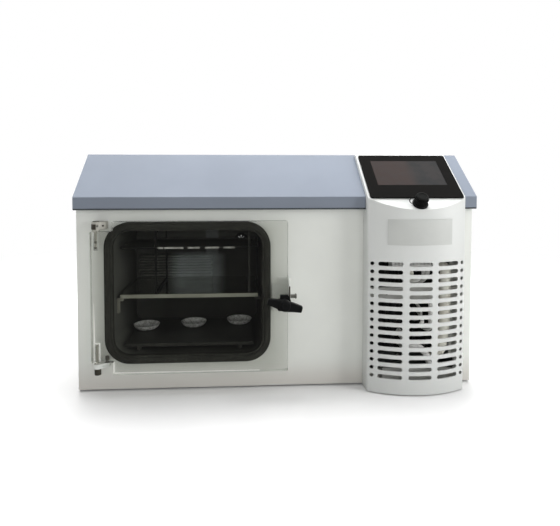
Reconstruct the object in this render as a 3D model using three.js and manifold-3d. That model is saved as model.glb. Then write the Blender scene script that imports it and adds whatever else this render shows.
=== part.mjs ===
// Benchtop freeze dryer: a sheet-metal cabinet with a sloping lid, a vacuum chamber behind a thick
// acrylic door at the left, and a bowed, slotted column at the right that carries the touch screen.
// Units are millimetres. The front faces -Y, +X is to the right and +Z is up.
import * as THREE from "three";
import { mergeVertices } from "three/addons/utils/BufferGeometryUtils.js";
import Module from "manifold-3d";

const wasm = await Module();
wasm.setup();

// ---------------------------------------------------------------- driving dimensions
const GAP = 0.3; // between pieces that touch
const SHEET = 2; // folded sheet steel

// cabinet
const CABINET_WIDTH = 864;
const CABINET_DEPTH = 540; // front panel face to rear edge
const LIP_HEIGHT = 27;
const LIP_REACH = 20; // how far the lip stands in front of the front panel
const LID_SLOPE = THREE.MathUtils.degToRad(39);
const RIDGE_RUN = 117; // from the lip back to the ridge
const LID_OVERHANG = 1; // past the side and rear panels
const FOOT_HEIGHT = 4;
const FOOT_RADIUS = 16;
const FOOT_INSET = 60;
const PANEL_RETURN = 14; // folded edge of the front panel
const LAP = 12; // side panel tab inside the lid
const PAN_HEIGHT = 22;
const PAN_SLOTS = 6;
const PAN_SLOT_WIDTH = 110;
const PAN_SLOT_HEIGHT = 6;
const PAN_SLOT_PITCH = 14;

// column
const COLUMN_FROM_RIGHT = 138.5; // its middle, in from the cabinet's right side
const COLUMN_WIDTH = 213;
const COLUMN_REACH = 38; // side walls in front of the front panel
const COLUMN_BOW = 30; // rise of the bowed front over its side walls
const COLUMN_CORNER = 8;
const COLUMN_WALL = 3;
const COLUMN_FOOT = 2.5;
const CONSOLE_RISE = 10; // console surface above the lid's slope
const CONSOLE_LAND = 11; // flat strip behind the screen
const VENT_ROWS = 15;
const VENT_PITCH = 17.3;
const VENT_LOWEST = 41;
const VENT_HEIGHT = 9;
const VENT_WIDTH = 50; // centre slot
const VENT_SIDE_WIDTH = 49;
const VENT_RIB = 12.5;
const VENT_HOLE = 8;
const VENT_HOLE_OFFSET = 97.5;
const BADGE_WIDTH = 140;
const BADGE_HEIGHT = 54;
const BADGE_DROP = 73; // its middle, below the lip's top
const BADGE_THICK = 1;

// touch screen, laid on the console
const SCREEN_WIDTH = 204;
const SCREEN_DEPTH = 150;
const SCREEN_THICK = 3;
const SCREEN_MIDDLE = 57; // up the slope from the lip
const GLASS_WIDTH = 154;
const GLASS_DEPTH = 86;
const GLASS_SHIFT = 10;
const GLASS_THICK = 1;
const HOUSING_MARGIN = 7;
const HOUSING_DROP = 42;

// service port at the front of the console
const PORT_DOWN = 36; // down the slope from the lip
const PORT_FLANGE = 14.5;
const PORT_FLANGE_THICK = 3;
const PORT_NECK = 9.5;
const PORT_NECK_HEIGHT = 11;
const PORT_BORE = 6;
const CAP_RADIUS = 13.5;
const CAP_HEIGHT = 20;
const CAP_FLUTES = 12;
const TETHER_WIRE = 1.4;

// vacuum chamber
const CHAMBER_FROM_LEFT = 79; // its left wall, in from the cabinet's left side
const CHAMBER_FLOOR = 83;
const CHAMBER_WIDTH = 316;
const CHAMBER_HEIGHT = 266;
const CHAMBER_CORNER = 35;
const CHAMBER_WALL = 3;
const CHAMBER_DEPTH = 239;
const FLANGE_WIDTH = 15;
const FOAM = 30;
const GASKET_DEPTH = 14.4;
const GASKET_SIDE = 18;
const GASKET_LIP = 2.7;
const SHELF_FRONT = 18; // behind the front panel's back face
const SHELF_DEPTH = 195;
const SHELF_CLEAR = 8; // each side of a shelf
const SHELF_THICK = 8.5;
const MIDDLE_SHELF_RISE = 123.5; // its top, above the chamber's floor
const UPPER_SHELF_DROP = 40; // its top, below the chamber's ceiling
const UPPER_SHELF_THICK = 4;
const LOWER_SHELF_RISE = 15;
const LOWER_SHELF_THICK = 7;
const LOWER_SHELF_SIDE = 18;
const RUNNER_INSET = 25;
const RUNNER = 10;
const RACK_FROM_LEFT = 85; // left rack frame, in from the chamber's left wall
const RACK_FROM_RIGHT = 27;
const RACK_SHORT = 24; // less deep than the shelf it stands on
const RACK_BAR = 4;
const LEDGE_WIDTH = 14;
const LEDGE_THICK = 6;
const HANGER_DROP = 33;
const DISH_RADIUS = 31;
const DISH_HEIGHT = 12;
const DISH_WALL = 1.2;
const DISH_FROM_LEFT = 45; // middle of the first dish, in from the chamber's left wall
const DISH_FROM_RIGHT = 49;
const DISH_FROM_FRONT = 110; // middle of the first dish, behind the shelf's front edge
const DISH_STEP_BACK = 17;
const COIL_TUBE = 2.5;
const COIL_PITCH = 7;
const COIL_RUNS = 8;
const COIL_LENGTH = 180;
const COIL_FROM_LEFT = 14;
const COIL_FROM_BACK = 12;
const COIL_RISE = 3; // above the middle shelf

// door and hinges
const DOOR_THICK = 20;
const DOOR_LAP_LEFT = 42; // past the chamber's left wall
const DOOR_LAP_RIGHT = 54;
const DOOR_LAP_BOTTOM = 35;
const DOOR_LAP_TOP = 21;
const DOOR_HEADROOM = 23; // between the door's top and the lip
const NOTCH_WIDTH = 44;
const NOTCH_HEIGHT_TOP = 21;
const NOTCH_HEIGHT_BOTTOM = 26;
const HINGE_FROM_EDGE = 11;
const PIN_RADIUS = 4;
const PIN_IN_DOOR = 37;
const BRACKET_NOSE = 9;
const BRACKET_WIDTH = 32;
const BRACKET_THICK = 16;
const WASHER_RADIUS = 8;
const WASHER_ROOM = 4; // between the door and each bracket

// latch
const LATCH_FROM_EDGE = 9; // knob axis, in from the door's right edge
const LATCH_DROP = 20; // knob axis, below the chamber's middle
const STUD_RADIUS = 4;
const STUD_PLAY = 1.2;
const BUSH_WIDTH = 28;
const BUSH_NECK = 17; // its narrow upper end
const BUSH_RISE = 18; // top and shoulder, above the knob axis
const BUSH_SHOULDER = 9;
const BUSH_DROP = 16;
const BUSH_THICK = 9.4;
const KNOB_LENGTH = 74;
const WING_TIP = 5.6; // half heights of the knob's wings
const WING_MIDDLE = 8;
const WING_ROOT = 11;
const KNOB_HUB = 12;
const KNOB_DEPTH = 22;
const KNOB_TILT = THREE.MathUtils.degToRad(11.5);
const BRACKET_PLATE = 4;
const BRACKET_FOOT_SIDE = 24; // left of the knob axis
const BRACKET_FOOT_DROP = 21; // below the knob axis
const BRACKET_FOOT_RISE = 34.5; // above the knob axis
const TAB_SIDE = 10; // thin tab above the foot, left of the knob axis
const TAB_THICK = 2;
const BOSS_RADIUS = 10;
const EAR_GAP = 1.5;
const EAR_HEIGHT = 47;
const EAR_RISE = 3; // its foot, above the knob axis
const PEG_RADIUS = 4;
const PEG_RISE = 11; // above the knob axis
const PEG_LENGTH = 17.5;

// refrigeration
const FAN_RADIUS = 78;
const FAN_Z = 165;
const FAN_BLADES = 5;
const CONDENSER_WIDTH = 178;
const CONDENSER_HEIGHT = 212;
const CONDENSER_DEPTH = 40;
const CONDENSER_FRONT = 48; // behind the front panel's face
const FIN_PITCH = 16;
const FIN_THICK = 2;
const COMPRESSOR_FROM_RIGHT = 114; // its middle, in from the cabinet's right side
const COMPRESSOR_FROM_REAR = 210;
const COMPRESSOR_RADIUS = 82;
const COMPRESSOR_HEIGHT = 185;
const BOX_WIDTH = 110;
const BOX_DEPTH = 190;
const BOX_HEIGHT = 160;
const BOX_FROM_COMPRESSOR = 198; // between their middles
const BOX_FROM_REAR = 30;
const DRIER_FROM_CHAMBER = 107; // right of the chamber
const DRIER_FROM_COMPRESSOR = 100; // in front of its middle
const DRIER_LOW = 60;
const SUCTION_RISE = 34; // start of the cold line, above the chamber's middle
const SUCTION_FROM_BACK = 51; // and in front of the chamber's back
const SUCTION_HEIGHT = 55; // where it enters the compressor
const DRIER_RADIUS = 16;
const DRIER_LENGTH = 112;
const DRIER_NECK = 6; // radius of its ends
const DRIER_NECK_LENGTH = 8;
const DRIER_CONE = 12;
const TERMINAL_LOW = 70;
const TERMINAL_HEIGHT = 50;

// rear services
const VACUUM_FROM_RIGHT = 43; // in from the chamber's right wall
const VACUUM_FROM_TOP = 49;
const VACUUM_TUBE = 12.7;
const VACUUM_FLANGE = 20;
const REAR_REACH = 22; // how far the ports stand behind the cabinet
const INLET_FROM_RIGHT = 102; // in from the cabinet's right side
const INLET_Z = 70;
const SWITCH_FROM_INLET = 70;
const ROCKER_TILT = THREE.MathUtils.degToRad(9);
const DRAIN_Z = 34;
const DRAIN_TUBE = 4.5;
const TAP_RADIUS = 7;
const TAP_STEM_Y = 7.6; // stem, out from the tap's seat
const PIPE_WALL = 2;
const LOUVRE_WIDTH = 64;
const LOUVRE_HEIGHT = 6;
const LOUVRE_ACROSS = 76; // between the middles of neighbouring slots
const LOUVRE_PITCH = 14;
const LOUVRE_ROWS = 5;
const REAR_LOUVRE_Z = 250;
const SIDE_LOUVRE_Z = 190;
const SIDE_LOUVRE_FROM_REAR = 190;

// ---------------------------------------------------------------- places that follow
const HALF = CABINET_WIDTH / 2;
const PANEL_Y = LIP_REACH;
const REAR_Y = PANEL_Y + CABINET_DEPTH;
const COLUMN_CENTRE = HALF - COLUMN_FROM_RIGHT;
const CHAMBER_LEFT = -HALF + CHAMBER_FROM_LEFT;
const CHAMBER_RIGHT = CHAMBER_LEFT + CHAMBER_WIDTH;
const CHAMBER_X = (CHAMBER_LEFT + CHAMBER_RIGHT) / 2;
const CHAMBER_TOP = CHAMBER_FLOOR + CHAMBER_HEIGHT;
const CHAMBER_Z = (CHAMBER_FLOOR + CHAMBER_TOP) / 2;
const DOOR_LEFT = CHAMBER_LEFT - DOOR_LAP_LEFT;
const DOOR_RIGHT = CHAMBER_RIGHT + DOOR_LAP_RIGHT;
const DOOR_BOTTOM = CHAMBER_FLOOR - DOOR_LAP_BOTTOM;
const DOOR_TOP = CHAMBER_TOP + DOOR_LAP_TOP;
const LIP_BOTTOM = DOOR_TOP + DOOR_HEADROOM;
const LIP_TOP = LIP_BOTTOM + LIP_HEIGHT;
const BASE_Z = FOOT_HEIGHT;
const FLOOR_Z = BASE_Z + SHEET + GAP; // what stands in the base pan stands here
const SLOPE_TAN = Math.tan(LID_SLOPE);
const SLOPE_COS = Math.cos(LID_SLOPE);
const RIDGE_Z = LIP_TOP + RIDGE_RUN * SLOPE_TAN;
const HINGE_X = DOOR_LEFT + HINGE_FROM_EDGE;
const DOOR_BACK = PANEL_Y - GAP - GASKET_DEPTH - GAP;
const DOOR_FRONT = DOOR_BACK - DOOR_THICK;
const HINGE_Y = (DOOR_FRONT + DOOR_BACK) / 2;
const LATCH_X = DOOR_RIGHT - LATCH_FROM_EDGE;
const LATCH_Z = CHAMBER_Z - LATCH_DROP;
const SHELL_FRONT = PANEL_Y + GAP;
const SHELL_BACK = PANEL_Y + SHEET + CHAMBER_DEPTH;
const FLANGE_Y = PANEL_Y + SHEET + GAP;
const REAR_PANEL_Y = REAR_Y - 2 * SHEET;
const SHELF_Y = PANEL_Y + SHEET + SHELF_FRONT;
const LOWER_SHELF_TOP = CHAMBER_FLOOR + LOWER_SHELF_RISE;
const MIDDLE_SHELF_TOP = CHAMBER_FLOOR + MIDDLE_SHELF_RISE;
const UPPER_SHELF_TOP = CHAMBER_TOP - UPPER_SHELF_DROP;
const COMPRESSOR_X = HALF - COMPRESSOR_FROM_RIGHT;
const COMPRESSOR_Y = REAR_Y - COMPRESSOR_FROM_REAR;
const VACUUM_X = CHAMBER_RIGHT - VACUUM_FROM_RIGHT;
const VACUUM_Z = CHAMBER_TOP - VACUUM_FROM_TOP;
const INLET_X = HALF - INLET_FROM_RIGHT;
const SWITCH_X = INLET_X - SWITCH_FROM_INLET;
const DRAIN_X = CHAMBER_X;

/** Height of the lid's sloping face at y, lifted along its normal by rise. */
function slopeZ(y, rise = 0) {
  return LIP_TOP + y * SLOPE_TAN + rise / SLOPE_COS;
}

// ---------------------------------------------------------------- shape and solid helpers
/** Closed outline through [a, b, radius] points, with each radius rounding its corner. */
function outline(points) {
  const shape = new THREE.Shape();
  const count = points.length;
  points.forEach(([a, b, radius = 0], i) => {
    const here = new THREE.Vector2(a, b);
    if (radius === 0) {
      if (i === 0) shape.moveTo(a, b);
      else shape.lineTo(a, b);
      return;
    }
    const before = new THREE.Vector2(...points[(i + count - 1) % count]);
    const after = new THREE.Vector2(...points[(i + 1) % count]);
    const back = before.sub(here).normalize();
    const on = after.sub(here).normalize();
    const reach = radius / Math.tan(Math.acos(back.dot(on)) / 2);
    const start = back.multiplyScalar(reach).add(here);
    const end = on.multiplyScalar(reach).add(here);
    if (i === 0) shape.moveTo(start.x, start.y);
    else shape.lineTo(start.x, start.y);
    shape.quadraticCurveTo(here.x, here.y, end.x, end.y);
  });
  shape.closePath();
  return shape;
}

/** Rectangle centred at (a, b), with round corners. */
function roundedRect(a, b, width, height, radius) {
  const shape = new THREE.Shape();
  const w = width / 2 - radius;
  const h = height / 2 - radius;
  shape.absarc(a + w, b + h, radius, 0, Math.PI / 2);
  shape.absarc(a - w, b + h, radius, Math.PI / 2, Math.PI);
  shape.absarc(a - w, b - h, radius, Math.PI, 1.5 * Math.PI);
  shape.absarc(a + w, b - h, radius, 1.5 * Math.PI, 2 * Math.PI);
  shape.closePath();
  return shape;
}

function circle(a, b, radius) {
  const shape = new THREE.Shape();
  shape.absarc(a, b, radius, 0, 2 * Math.PI);
  return shape;
}

const SIDES = 12; // of a plain round solid
const HOLE_STEPS = SIDES / 2; // three.js gives an arc twice as many

/** Radius of a many-sided bore whose flats stay GAP clear of a bar that turns in it. */
function runningBore(radius) {
  return (radius + GAP) / Math.cos(Math.PI / SIDES);
}

/** Round hole that leaves GAP all round a bar of this radius. */
function clearHole(a, b, radius) {
  return circle(a, b, runningBore(radius));
}

/** A manifold solid from a closed three.js geometry. */
function solid(geometry) {
  const bare = geometry.clone();
  bare.deleteAttribute("normal");
  bare.deleteAttribute("uv");
  const merged = mergeVertices(bare, 1e-4);
  const index = merged.index.array;
  const triangles = [];
  for (let i = 0; i < index.length; i += 3) {
    const [a, b, c] = [index[i], index[i + 1], index[i + 2]];
    if (a !== b && b !== c && c !== a) triangles.push(a, b, c);
  }
  const mesh = new wasm.Mesh({
    numProp: 3,
    vertProperties: new Float32Array(merged.attributes.position.array),
    triVerts: new Uint32Array(triangles),
  });
  return new wasm.Manifold(mesh);
}

/** A solid brought back as a geometry. */
function geometryOf(body) {
  const mesh = body.getMesh();
  const geometry = new THREE.BufferGeometry();
  geometry.setAttribute("position", new THREE.BufferAttribute(mesh.vertProperties, 3));
  geometry.setIndex(new THREE.BufferAttribute(mesh.triVerts, 1));
  geometry.computeVertexNormals();
  return geometry;
}

/** Straight extrusion; three.js gives an arc twice curveSegments steps and other curves as many. */
function extrude(shape, depth, curveSegments) {
  return new THREE.ExtrudeGeometry(shape, { depth, bevelEnabled: false, curveSegments });
}

/** (y, z) outline carried along X. */
function prismX(shape, x0, x1, curveSegments = 2) {
  const geometry = extrude(shape, x1 - x0, curveSegments);
  geometry.rotateX(Math.PI / 2).rotateZ(Math.PI / 2);
  return solid(geometry.translate(x0, 0, 0));
}

/** (x, z) outline carried along Y. */
function prismY(shape, y0, y1, curveSegments = 2) {
  const geometry = extrude(shape, y1 - y0, curveSegments);
  return solid(geometry.rotateX(Math.PI / 2).translate(0, y1, 0));
}

/** (x, y) outline carried along Z. */
function prismZ(shape, z0, z1, curveSegments = 2) {
  return solid(extrude(shape, z1 - z0, curveSegments).translate(0, 0, z0));
}

function blockGeometry(x0, x1, y0, y1, z0, z1) {
  const geometry = new THREE.BoxGeometry(x1 - x0, y1 - y0, z1 - z0);
  return geometry.translate((x0 + x1) / 2, (y0 + y1) / 2, (z0 + z1) / 2);
}

function block(x0, x1, y0, y1, z0, z1) {
  return solid(blockGeometry(x0, x1, y0, y1, z0, z1));
}

/** Round bar between two points. */
function rod(from, to, radius, sides = SIDES) {
  const start = new THREE.Vector3(...from);
  const way = new THREE.Vector3(...to).sub(start);
  const geometry = new THREE.CylinderGeometry(radius, radius, way.length(), sides);
  geometry.translate(0, way.length() / 2, 0);
  const turn = new THREE.Quaternion().setFromUnitVectors(new THREE.Vector3(0, 1, 0), way.normalize());
  return solid(geometry.applyQuaternion(turn).translate(...from));
}

/** (radius, height) profile turned about the axis that leaves `at` along `along`. */
function turned(profile, at = [0, 0, 0], along = [0, 0, 1], sides = SIDES) {
  const geometry = new THREE.LatheGeometry(profile.map(([r, h]) => new THREE.Vector2(r, h)), sides);
  const axis = new THREE.Vector3(...along);
  const turn = new THREE.Quaternion().setFromUnitVectors(new THREE.Vector3(0, 1, 0), axis);
  return solid(geometry.applyQuaternion(turn).translate(...at));
}

/** Round tube along a smooth curve through the points. */
function tube(points, radius, steps, sides = 6, tension = 0.5) {
  const route = points.map((p) => new THREE.Vector3(...p));
  const extrudePath = new THREE.CatmullRomCurve3(route, false, "catmullrom", tension);
  return solid(new THREE.ExtrudeGeometry(circle(0, 0, radius), {
    steps, extrudePath, bevelEnabled: false, curveSegments: sides / 2,
  }));
}

function joined(bodies) {
  return bodies.reduce((all, body) => all.add(body));
}

function mirrored(make) {
  return make(-1).add(make(1));
}

// ---------------------------------------------------------------- the tree and the looks
const unit = new THREE.Group();
const consoleGroup = new THREE.Group(); // x across, y up the slope, z out of it
consoleGroup.position.set(0, 0, LIP_TOP);
consoleGroup.rotation.x = LID_SLOPE;
unit.add(consoleGroup);
const onSlope = new THREE.Matrix4().makeRotationX(LID_SLOPE).setPosition(0, 0, LIP_TOP);

function look(color, roughness, metalness = 0, opacity = 1) {
  return { color, roughness, metalness, opacity, transparent: opacity < 1 };
}
const WHITE_PAINT = look(0xd2d4ca, 0.45);
const COLUMN_WHITE = look(0xe9ebe8, 0.4);
const BLUE_PAINT = look(0xa3adbb, 0.5);
const BLACK_PLASTIC = look(0x1b1b1c, 0.45);
const BLACK_RUBBER = look(0x232321, 0.8);
const DARK_GLASS = look(0x35312f, 0.1);
const PLATE_GREY = look(0xcbcdca, 0.4, 0.3);
const STEEL = look(0xb7bab8, 0.3, 1);
const DARK_STEEL = look(0x5b5d59, 0.35, 1);
const ACRYLIC = look(0xe3ebe4, 0.05, 0, 0.25);
const FOAM_GREY = look(0x4b4c49, 0.95);
const COPPER = look(0xb06a42, 0.35, 1);
const GALVANISED = look(0x9a9d9b, 0.5, 0.8);
const BLACK_ENAMEL = look(0x222426, 0.35, 0.2);
const NYLON = look(0xe6e2d6, 0.6);

function add(name, body, finish, parent = unit) {
  const mesh = new THREE.Mesh(geometryOf(body), new THREE.MeshStandardMaterial(finish));
  mesh.name = name;
  parent.add(mesh);
}

// ---------------------------------------------------------------- cabinet
function basePan() {
  const side = HALF - SHEET - GAP;
  const front = PANEL_Y + SHEET + GAP;
  const rear = REAR_PANEL_Y - GAP;
  const top = BASE_Z + PAN_HEIGHT;
  const tray = block(-side, side, front, rear, BASE_Z, top);
  const inside = block(-side + SHEET, side - SHEET, front + SHEET, rear - SHEET, BASE_Z + SHEET, top + 1);
  const slots = [];
  for (let i = 0; i < PAN_SLOTS; i += 1) {
    const y = PANEL_Y + CONDENSER_FRONT + CONDENSER_DEPTH + 30 + i * PAN_SLOT_PITCH;
    const slot = roundedRect(COLUMN_CENTRE, y, PAN_SLOT_WIDTH, PAN_SLOT_HEIGHT, PAN_SLOT_HEIGHT / 2);
    slots.push(prismZ(slot, BASE_Z - 1, BASE_Z + SHEET + 1, 1));
  }
  return tray.subtract(inside).subtract(joined(slots));
}

function foot(x, y) {
  const top = FOOT_HEIGHT - GAP;
  const profile = [[0, 0], [FOOT_RADIUS - 1, 0], [FOOT_RADIUS, 1], [FOOT_RADIUS - 2, top], [0, top]];
  return turned(profile, [x, y, 0]);
}

/** Front panel outline, stepped in where it passes up inside the lid; inset leaves its foot open. */
function frontOutline(inset) {
  const wide = HALF - inset;
  const narrow = HALF - 1.5 - inset;
  const step = LIP_BOTTOM - GAP - inset;
  const top = slopeZ(PANEL_Y, -SHEET) - 2 - inset;
  const low = inset > 0 ? BASE_Z - 1 : BASE_Z;
  return outline([[-wide, low], [wide, low], [wide, step], [narrow, step],
    [narrow, top], [-narrow, top], [-narrow, step], [-wide, step]]);
}

function chamberOutline(grow) {
  const corner = CHAMBER_CORNER + grow;
  return roundedRect(CHAMBER_X, CHAMBER_Z, CHAMBER_WIDTH + 2 * grow, CHAMBER_HEIGHT + 2 * grow, corner);
}

function frontPanel() {
  const tray = prismY(frontOutline(0), PANEL_Y, PANEL_Y + PANEL_RETURN);
  const inside = prismY(frontOutline(SHEET), PANEL_Y + SHEET, PANEL_Y + PANEL_RETURN + 1);
  const cut = [PANEL_Y - 1, PANEL_Y + PANEL_RETURN + 1];
  const doorway = prismY(chamberOutline(CHAMBER_WALL + GAP), ...cut, 3);
  const bayHalf = COLUMN_WIDTH / 2 - 2 * COLUMN_WALL;
  const bay = block(COLUMN_CENTRE - bayHalf, COLUMN_CENTRE + bayHalf, ...cut, BASE_Z + PAN_HEIGHT + 8, RIDGE_Z);
  return tray.subtract(inside).subtract(doorway).subtract(bay);
}

/** Side panel with its joggled tab inside the lid, on the side sign (-1 left, 1 right). */
function sidePanel(sign) {
  const front = PANEL_Y + PANEL_RETURN + GAP;
  const top = RIDGE_Z - LIP_HEIGHT - GAP;
  const lower = -LIP_HEIGHT * SLOPE_COS - GAP;
  const skin = outline([[front, BASE_Z], [REAR_Y, BASE_Z], [REAR_Y, top],
    [RIDGE_RUN, top], [front, slopeZ(front, lower)]]);
  const tabRear = REAR_PANEL_Y - 6;
  const tab = outline([[front, slopeZ(front, lower) - LAP], [RIDGE_RUN, top - LAP], [tabRear, top - LAP],
    [tabRear, top + LAP], [RIDGE_RUN, top + LAP], [front, slopeZ(front, lower) + LAP]]);
  const outer = prismX(skin, HALF - SHEET, HALF);
  const inner = prismX(tab, HALF - 2 * SHEET, HALF - SHEET);
  const right = outer.add(inner);
  return sign > 0 ? right : right.mirror([1, 0, 0]);
}

/** Two columns of slots through a side or rear wall, centred at (a, b) of its plane. */
function louvres(prism, a, b, from, to) {
  const slots = [];
  for (let row = 0; row < LOUVRE_ROWS; row += 1) {
    for (const side of [-1, 1]) {
      const place = [a + (side * LOUVRE_ACROSS) / 2, b + (row - (LOUVRE_ROWS - 1) / 2) * LOUVRE_PITCH];
      slots.push(prism(roundedRect(...place, LOUVRE_WIDTH, LOUVRE_HEIGHT, LOUVRE_HEIGHT / 2), from, to, 1));
    }
  }
  return joined(slots);
}

function rearPanel() {
  const side = HALF - SHEET - GAP;
  const plate = block(-side, side, REAR_PANEL_Y, REAR_PANEL_Y + SHEET, BASE_Z, RIDGE_Z - 10);
  const cut = [REAR_PANEL_Y - 1, REAR_PANEL_Y + SHEET + 1];
  const port = prismY(clearHole(VACUUM_X, VACUUM_Z, VACUUM_TUBE), ...cut, HOLE_STEPS);
  const drain = prismY(clearHole(DRAIN_X, DRAIN_Z, TAP_RADIUS), ...cut, HOLE_STEPS);
  const inlet = prismY(roundedRect(INLET_X, INLET_Z, 28 + 2 * GAP, 20 + 2 * GAP, 2), ...cut, 1);
  const power = prismY(roundedRect(SWITCH_X, INLET_Z, 28 + 2 * GAP, 22 + 2 * GAP, 2), ...cut, 1);
  const vents = louvres(prismY, COMPRESSOR_X, REAR_LOUVRE_Z, ...cut);
  return plate.subtract(joined([port, drain, inlet, power, vents]));
}

function lid() {
  const rear = REAR_Y + LID_OVERHANG;
  const hem = RIDGE_Z - LIP_HEIGHT;
  const back = PANEL_Y - GAP;
  const innerTop = RIDGE_Z - SHEET;
  const innerRidge = RIDGE_RUN + SHEET * Math.tan(LID_SLOPE / 2);
  const sheet = outline([[back, LIP_BOTTOM], [0, LIP_BOTTOM, 3], [0, LIP_TOP, 3], [RIDGE_RUN, RIDGE_Z, 6],
    [rear, RIDGE_Z, 3], [rear, hem], [rear - SHEET, hem], [rear - SHEET, innerTop, 1],
    [innerRidge, innerTop, 4], [SHEET, slopeZ(SHEET, -SHEET), 1], [SHEET, LIP_BOTTOM + SHEET, 1],
    [back, LIP_BOTTOM + SHEET]]);
  const wing = outline([[0, LIP_BOTTOM, 3], [0, LIP_TOP, 3], [RIDGE_RUN, RIDGE_Z, 6], [rear, RIDGE_Z, 3],
    [rear, hem], [RIDGE_RUN, hem]]);
  const side = HALF + LID_OVERHANG;
  const folded = prismX(sheet, -side, side);
  const wings = mirrored((sign) => (sign > 0
    ? prismX(wing, side - SHEET, side)
    : prismX(wing, -side, -side + SHEET)));
  const notch = COLUMN_WIDTH / 2 + GAP;
  const columnNotch = block(COLUMN_CENTRE - notch, COLUMN_CENTRE + notch, -1, back, LIP_BOTTOM - 1, RIDGE_Z);
  return folded.add(wings).subtract(columnNotch).subtract(screenCutout());
}

// ---------------------------------------------------------------- column and console
const COLUMN_STEPS = 5; // half the flats of the bowed front

/** Plan of the column, set in by inset: straight sides, rounded corners and a bowed front. */
function columnPlan(inset, back) {
  const half = COLUMN_WIDTH / 2;
  const radius = (half * half + COLUMN_BOW * COLUMN_BOW) / (2 * COLUMN_BOW);
  const corner = PANEL_Y - COLUMN_REACH;
  const middleY = corner - COLUMN_BOW + radius;
  const side = half - COLUMN_CORNER;
  const cornerY = middleY - Math.sqrt((radius - COLUMN_CORNER) ** 2 - side * side);
  const turn = Math.atan2(middleY - cornerY, side); // where corner and bow meet
  const plan = new THREE.Shape();
  const r = COLUMN_CORNER - inset;
  plan.moveTo(COLUMN_CENTRE + half - inset, back);
  plan.lineTo(COLUMN_CENTRE - half + inset, back);
  plan.absarc(COLUMN_CENTRE - side, cornerY, r, Math.PI, Math.PI + turn);
  plan.absarc(COLUMN_CENTRE, middleY, radius - inset, Math.PI + turn, 2 * Math.PI - turn);
  plan.absarc(COLUMN_CENTRE + side, cornerY, r, 2 * Math.PI - turn, 2 * Math.PI);
  plan.closePath();
  return plan;
}

/** Everything under the console surface, lowered along its normal by drop. */
function underConsole(drop, rear) {
  const front = PANEL_Y - COLUMN_REACH - COLUMN_BOW - 10;
  const rise = CONSOLE_RISE - drop;
  const top = RIDGE_Z - drop;
  const bend = (top - LIP_TOP - rise / SLOPE_COS) / SLOPE_TAN;
  const side = outline([[front, -10], [rear, -10], [rear, top], [bend, top], [front, slopeZ(front, rise)]]);
  return prismX(side, COLUMN_CENTRE - COLUMN_WIDTH, COLUMN_CENTRE + COLUMN_WIDTH);
}

function consoleRear() {
  return RIDGE_RUN - CONSOLE_RISE / SLOPE_COS / SLOPE_TAN + CONSOLE_LAND;
}

/** Opening for the screen's housing, through the console and the lid. */
function screenCutout() {
  const halfWidth = SCREEN_WIDTH / 2 - HOUSING_MARGIN + 1;
  const halfDepth = SCREEN_DEPTH / 2 - HOUSING_MARGIN + 1;
  const geometry = blockGeometry(COLUMN_CENTRE - halfWidth, COLUMN_CENTRE + halfWidth,
    SCREEN_MIDDLE - halfDepth, SCREEN_MIDDLE + halfDepth, -SHEET * 3, CONSOLE_RISE * 2);
  return solid(geometry.applyMatrix4(onSlope));
}

function ventCuts() {
  const front = PANEL_Y - COLUMN_REACH - COLUMN_BOW - 5;
  const sideSlot = VENT_WIDTH / 2 + VENT_RIB + VENT_SIDE_WIDTH / 2;
  const columns = [[0, VENT_WIDTH], [-sideSlot, VENT_SIDE_WIDTH], [sideSlot, VENT_SIDE_WIDTH],
    [-VENT_HOLE_OFFSET, VENT_HOLE], [VENT_HOLE_OFFSET, VENT_HOLE]];
  const cuts = [];
  for (let row = 0; row < VENT_ROWS; row += 1) {
    const z = VENT_LOWEST + row * VENT_PITCH;
    for (const [offset, width] of columns) {
      const height = Math.min(width, VENT_HEIGHT);
      const shape = roundedRect(COLUMN_CENTRE + offset, z, width, height, height / 2);
      cuts.push(prismY(shape, front, PANEL_Y - 2, 1));
    }
  }
  return wasm.Manifold.union(cuts);
}

function columnCover() {
  const rear = consoleRear();
  const outer = prismZ(columnPlan(0, rear), COLUMN_FOOT, RIDGE_Z + 1, COLUMN_STEPS).intersect(underConsole(0, rear));
  const inner = prismZ(columnPlan(COLUMN_WALL, rear - COLUMN_WALL), -5, RIDGE_Z + 1, COLUMN_STEPS)
    .intersect(underConsole(COLUMN_WALL, rear));
  const behind = PANEL_Y - GAP;
  const lidBody = prismX(outline([[behind, -10], [rear + 5, -10], [rear + 5, slopeZ(rear + 5, GAP)],
    [behind, slopeZ(behind, GAP)]]), 0, CABINET_WIDTH);
  const portHole = solid(new THREE.CylinderGeometry(PORT_NECK, PORT_NECK, 2 * CONSOLE_RISE, 16)
    .rotateX(Math.PI / 2).translate(COLUMN_CENTRE, -PORT_DOWN, CONSOLE_RISE).applyMatrix4(onSlope));
  return outer.subtract(inner).subtract(lidBody).subtract(screenCutout()).subtract(portHole)
    .subtract(ventCuts());
}

function badge() {
  const half = COLUMN_WIDTH / 2;
  const radius = (half * half + COLUMN_BOW * COLUMN_BOW) / (2 * COLUMN_BOW);
  const middleY = PANEL_Y - COLUMN_REACH - COLUMN_BOW + radius;
  const reach = BADGE_WIDTH / 2 / radius;
  const plan = new THREE.Shape();
  const down = 1.5 * Math.PI;
  plan.absarc(COLUMN_CENTRE, middleY, radius + GAP + BADGE_THICK, down - reach, down + reach);
  plan.absarc(COLUMN_CENTRE, middleY, radius + GAP, down + reach, down - reach, true);
  plan.closePath();
  const middle = LIP_TOP - BADGE_DROP;
  return prismZ(plan, middle - BADGE_HEIGHT / 2, middle + BADGE_HEIGHT / 2, 5);
}

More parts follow.
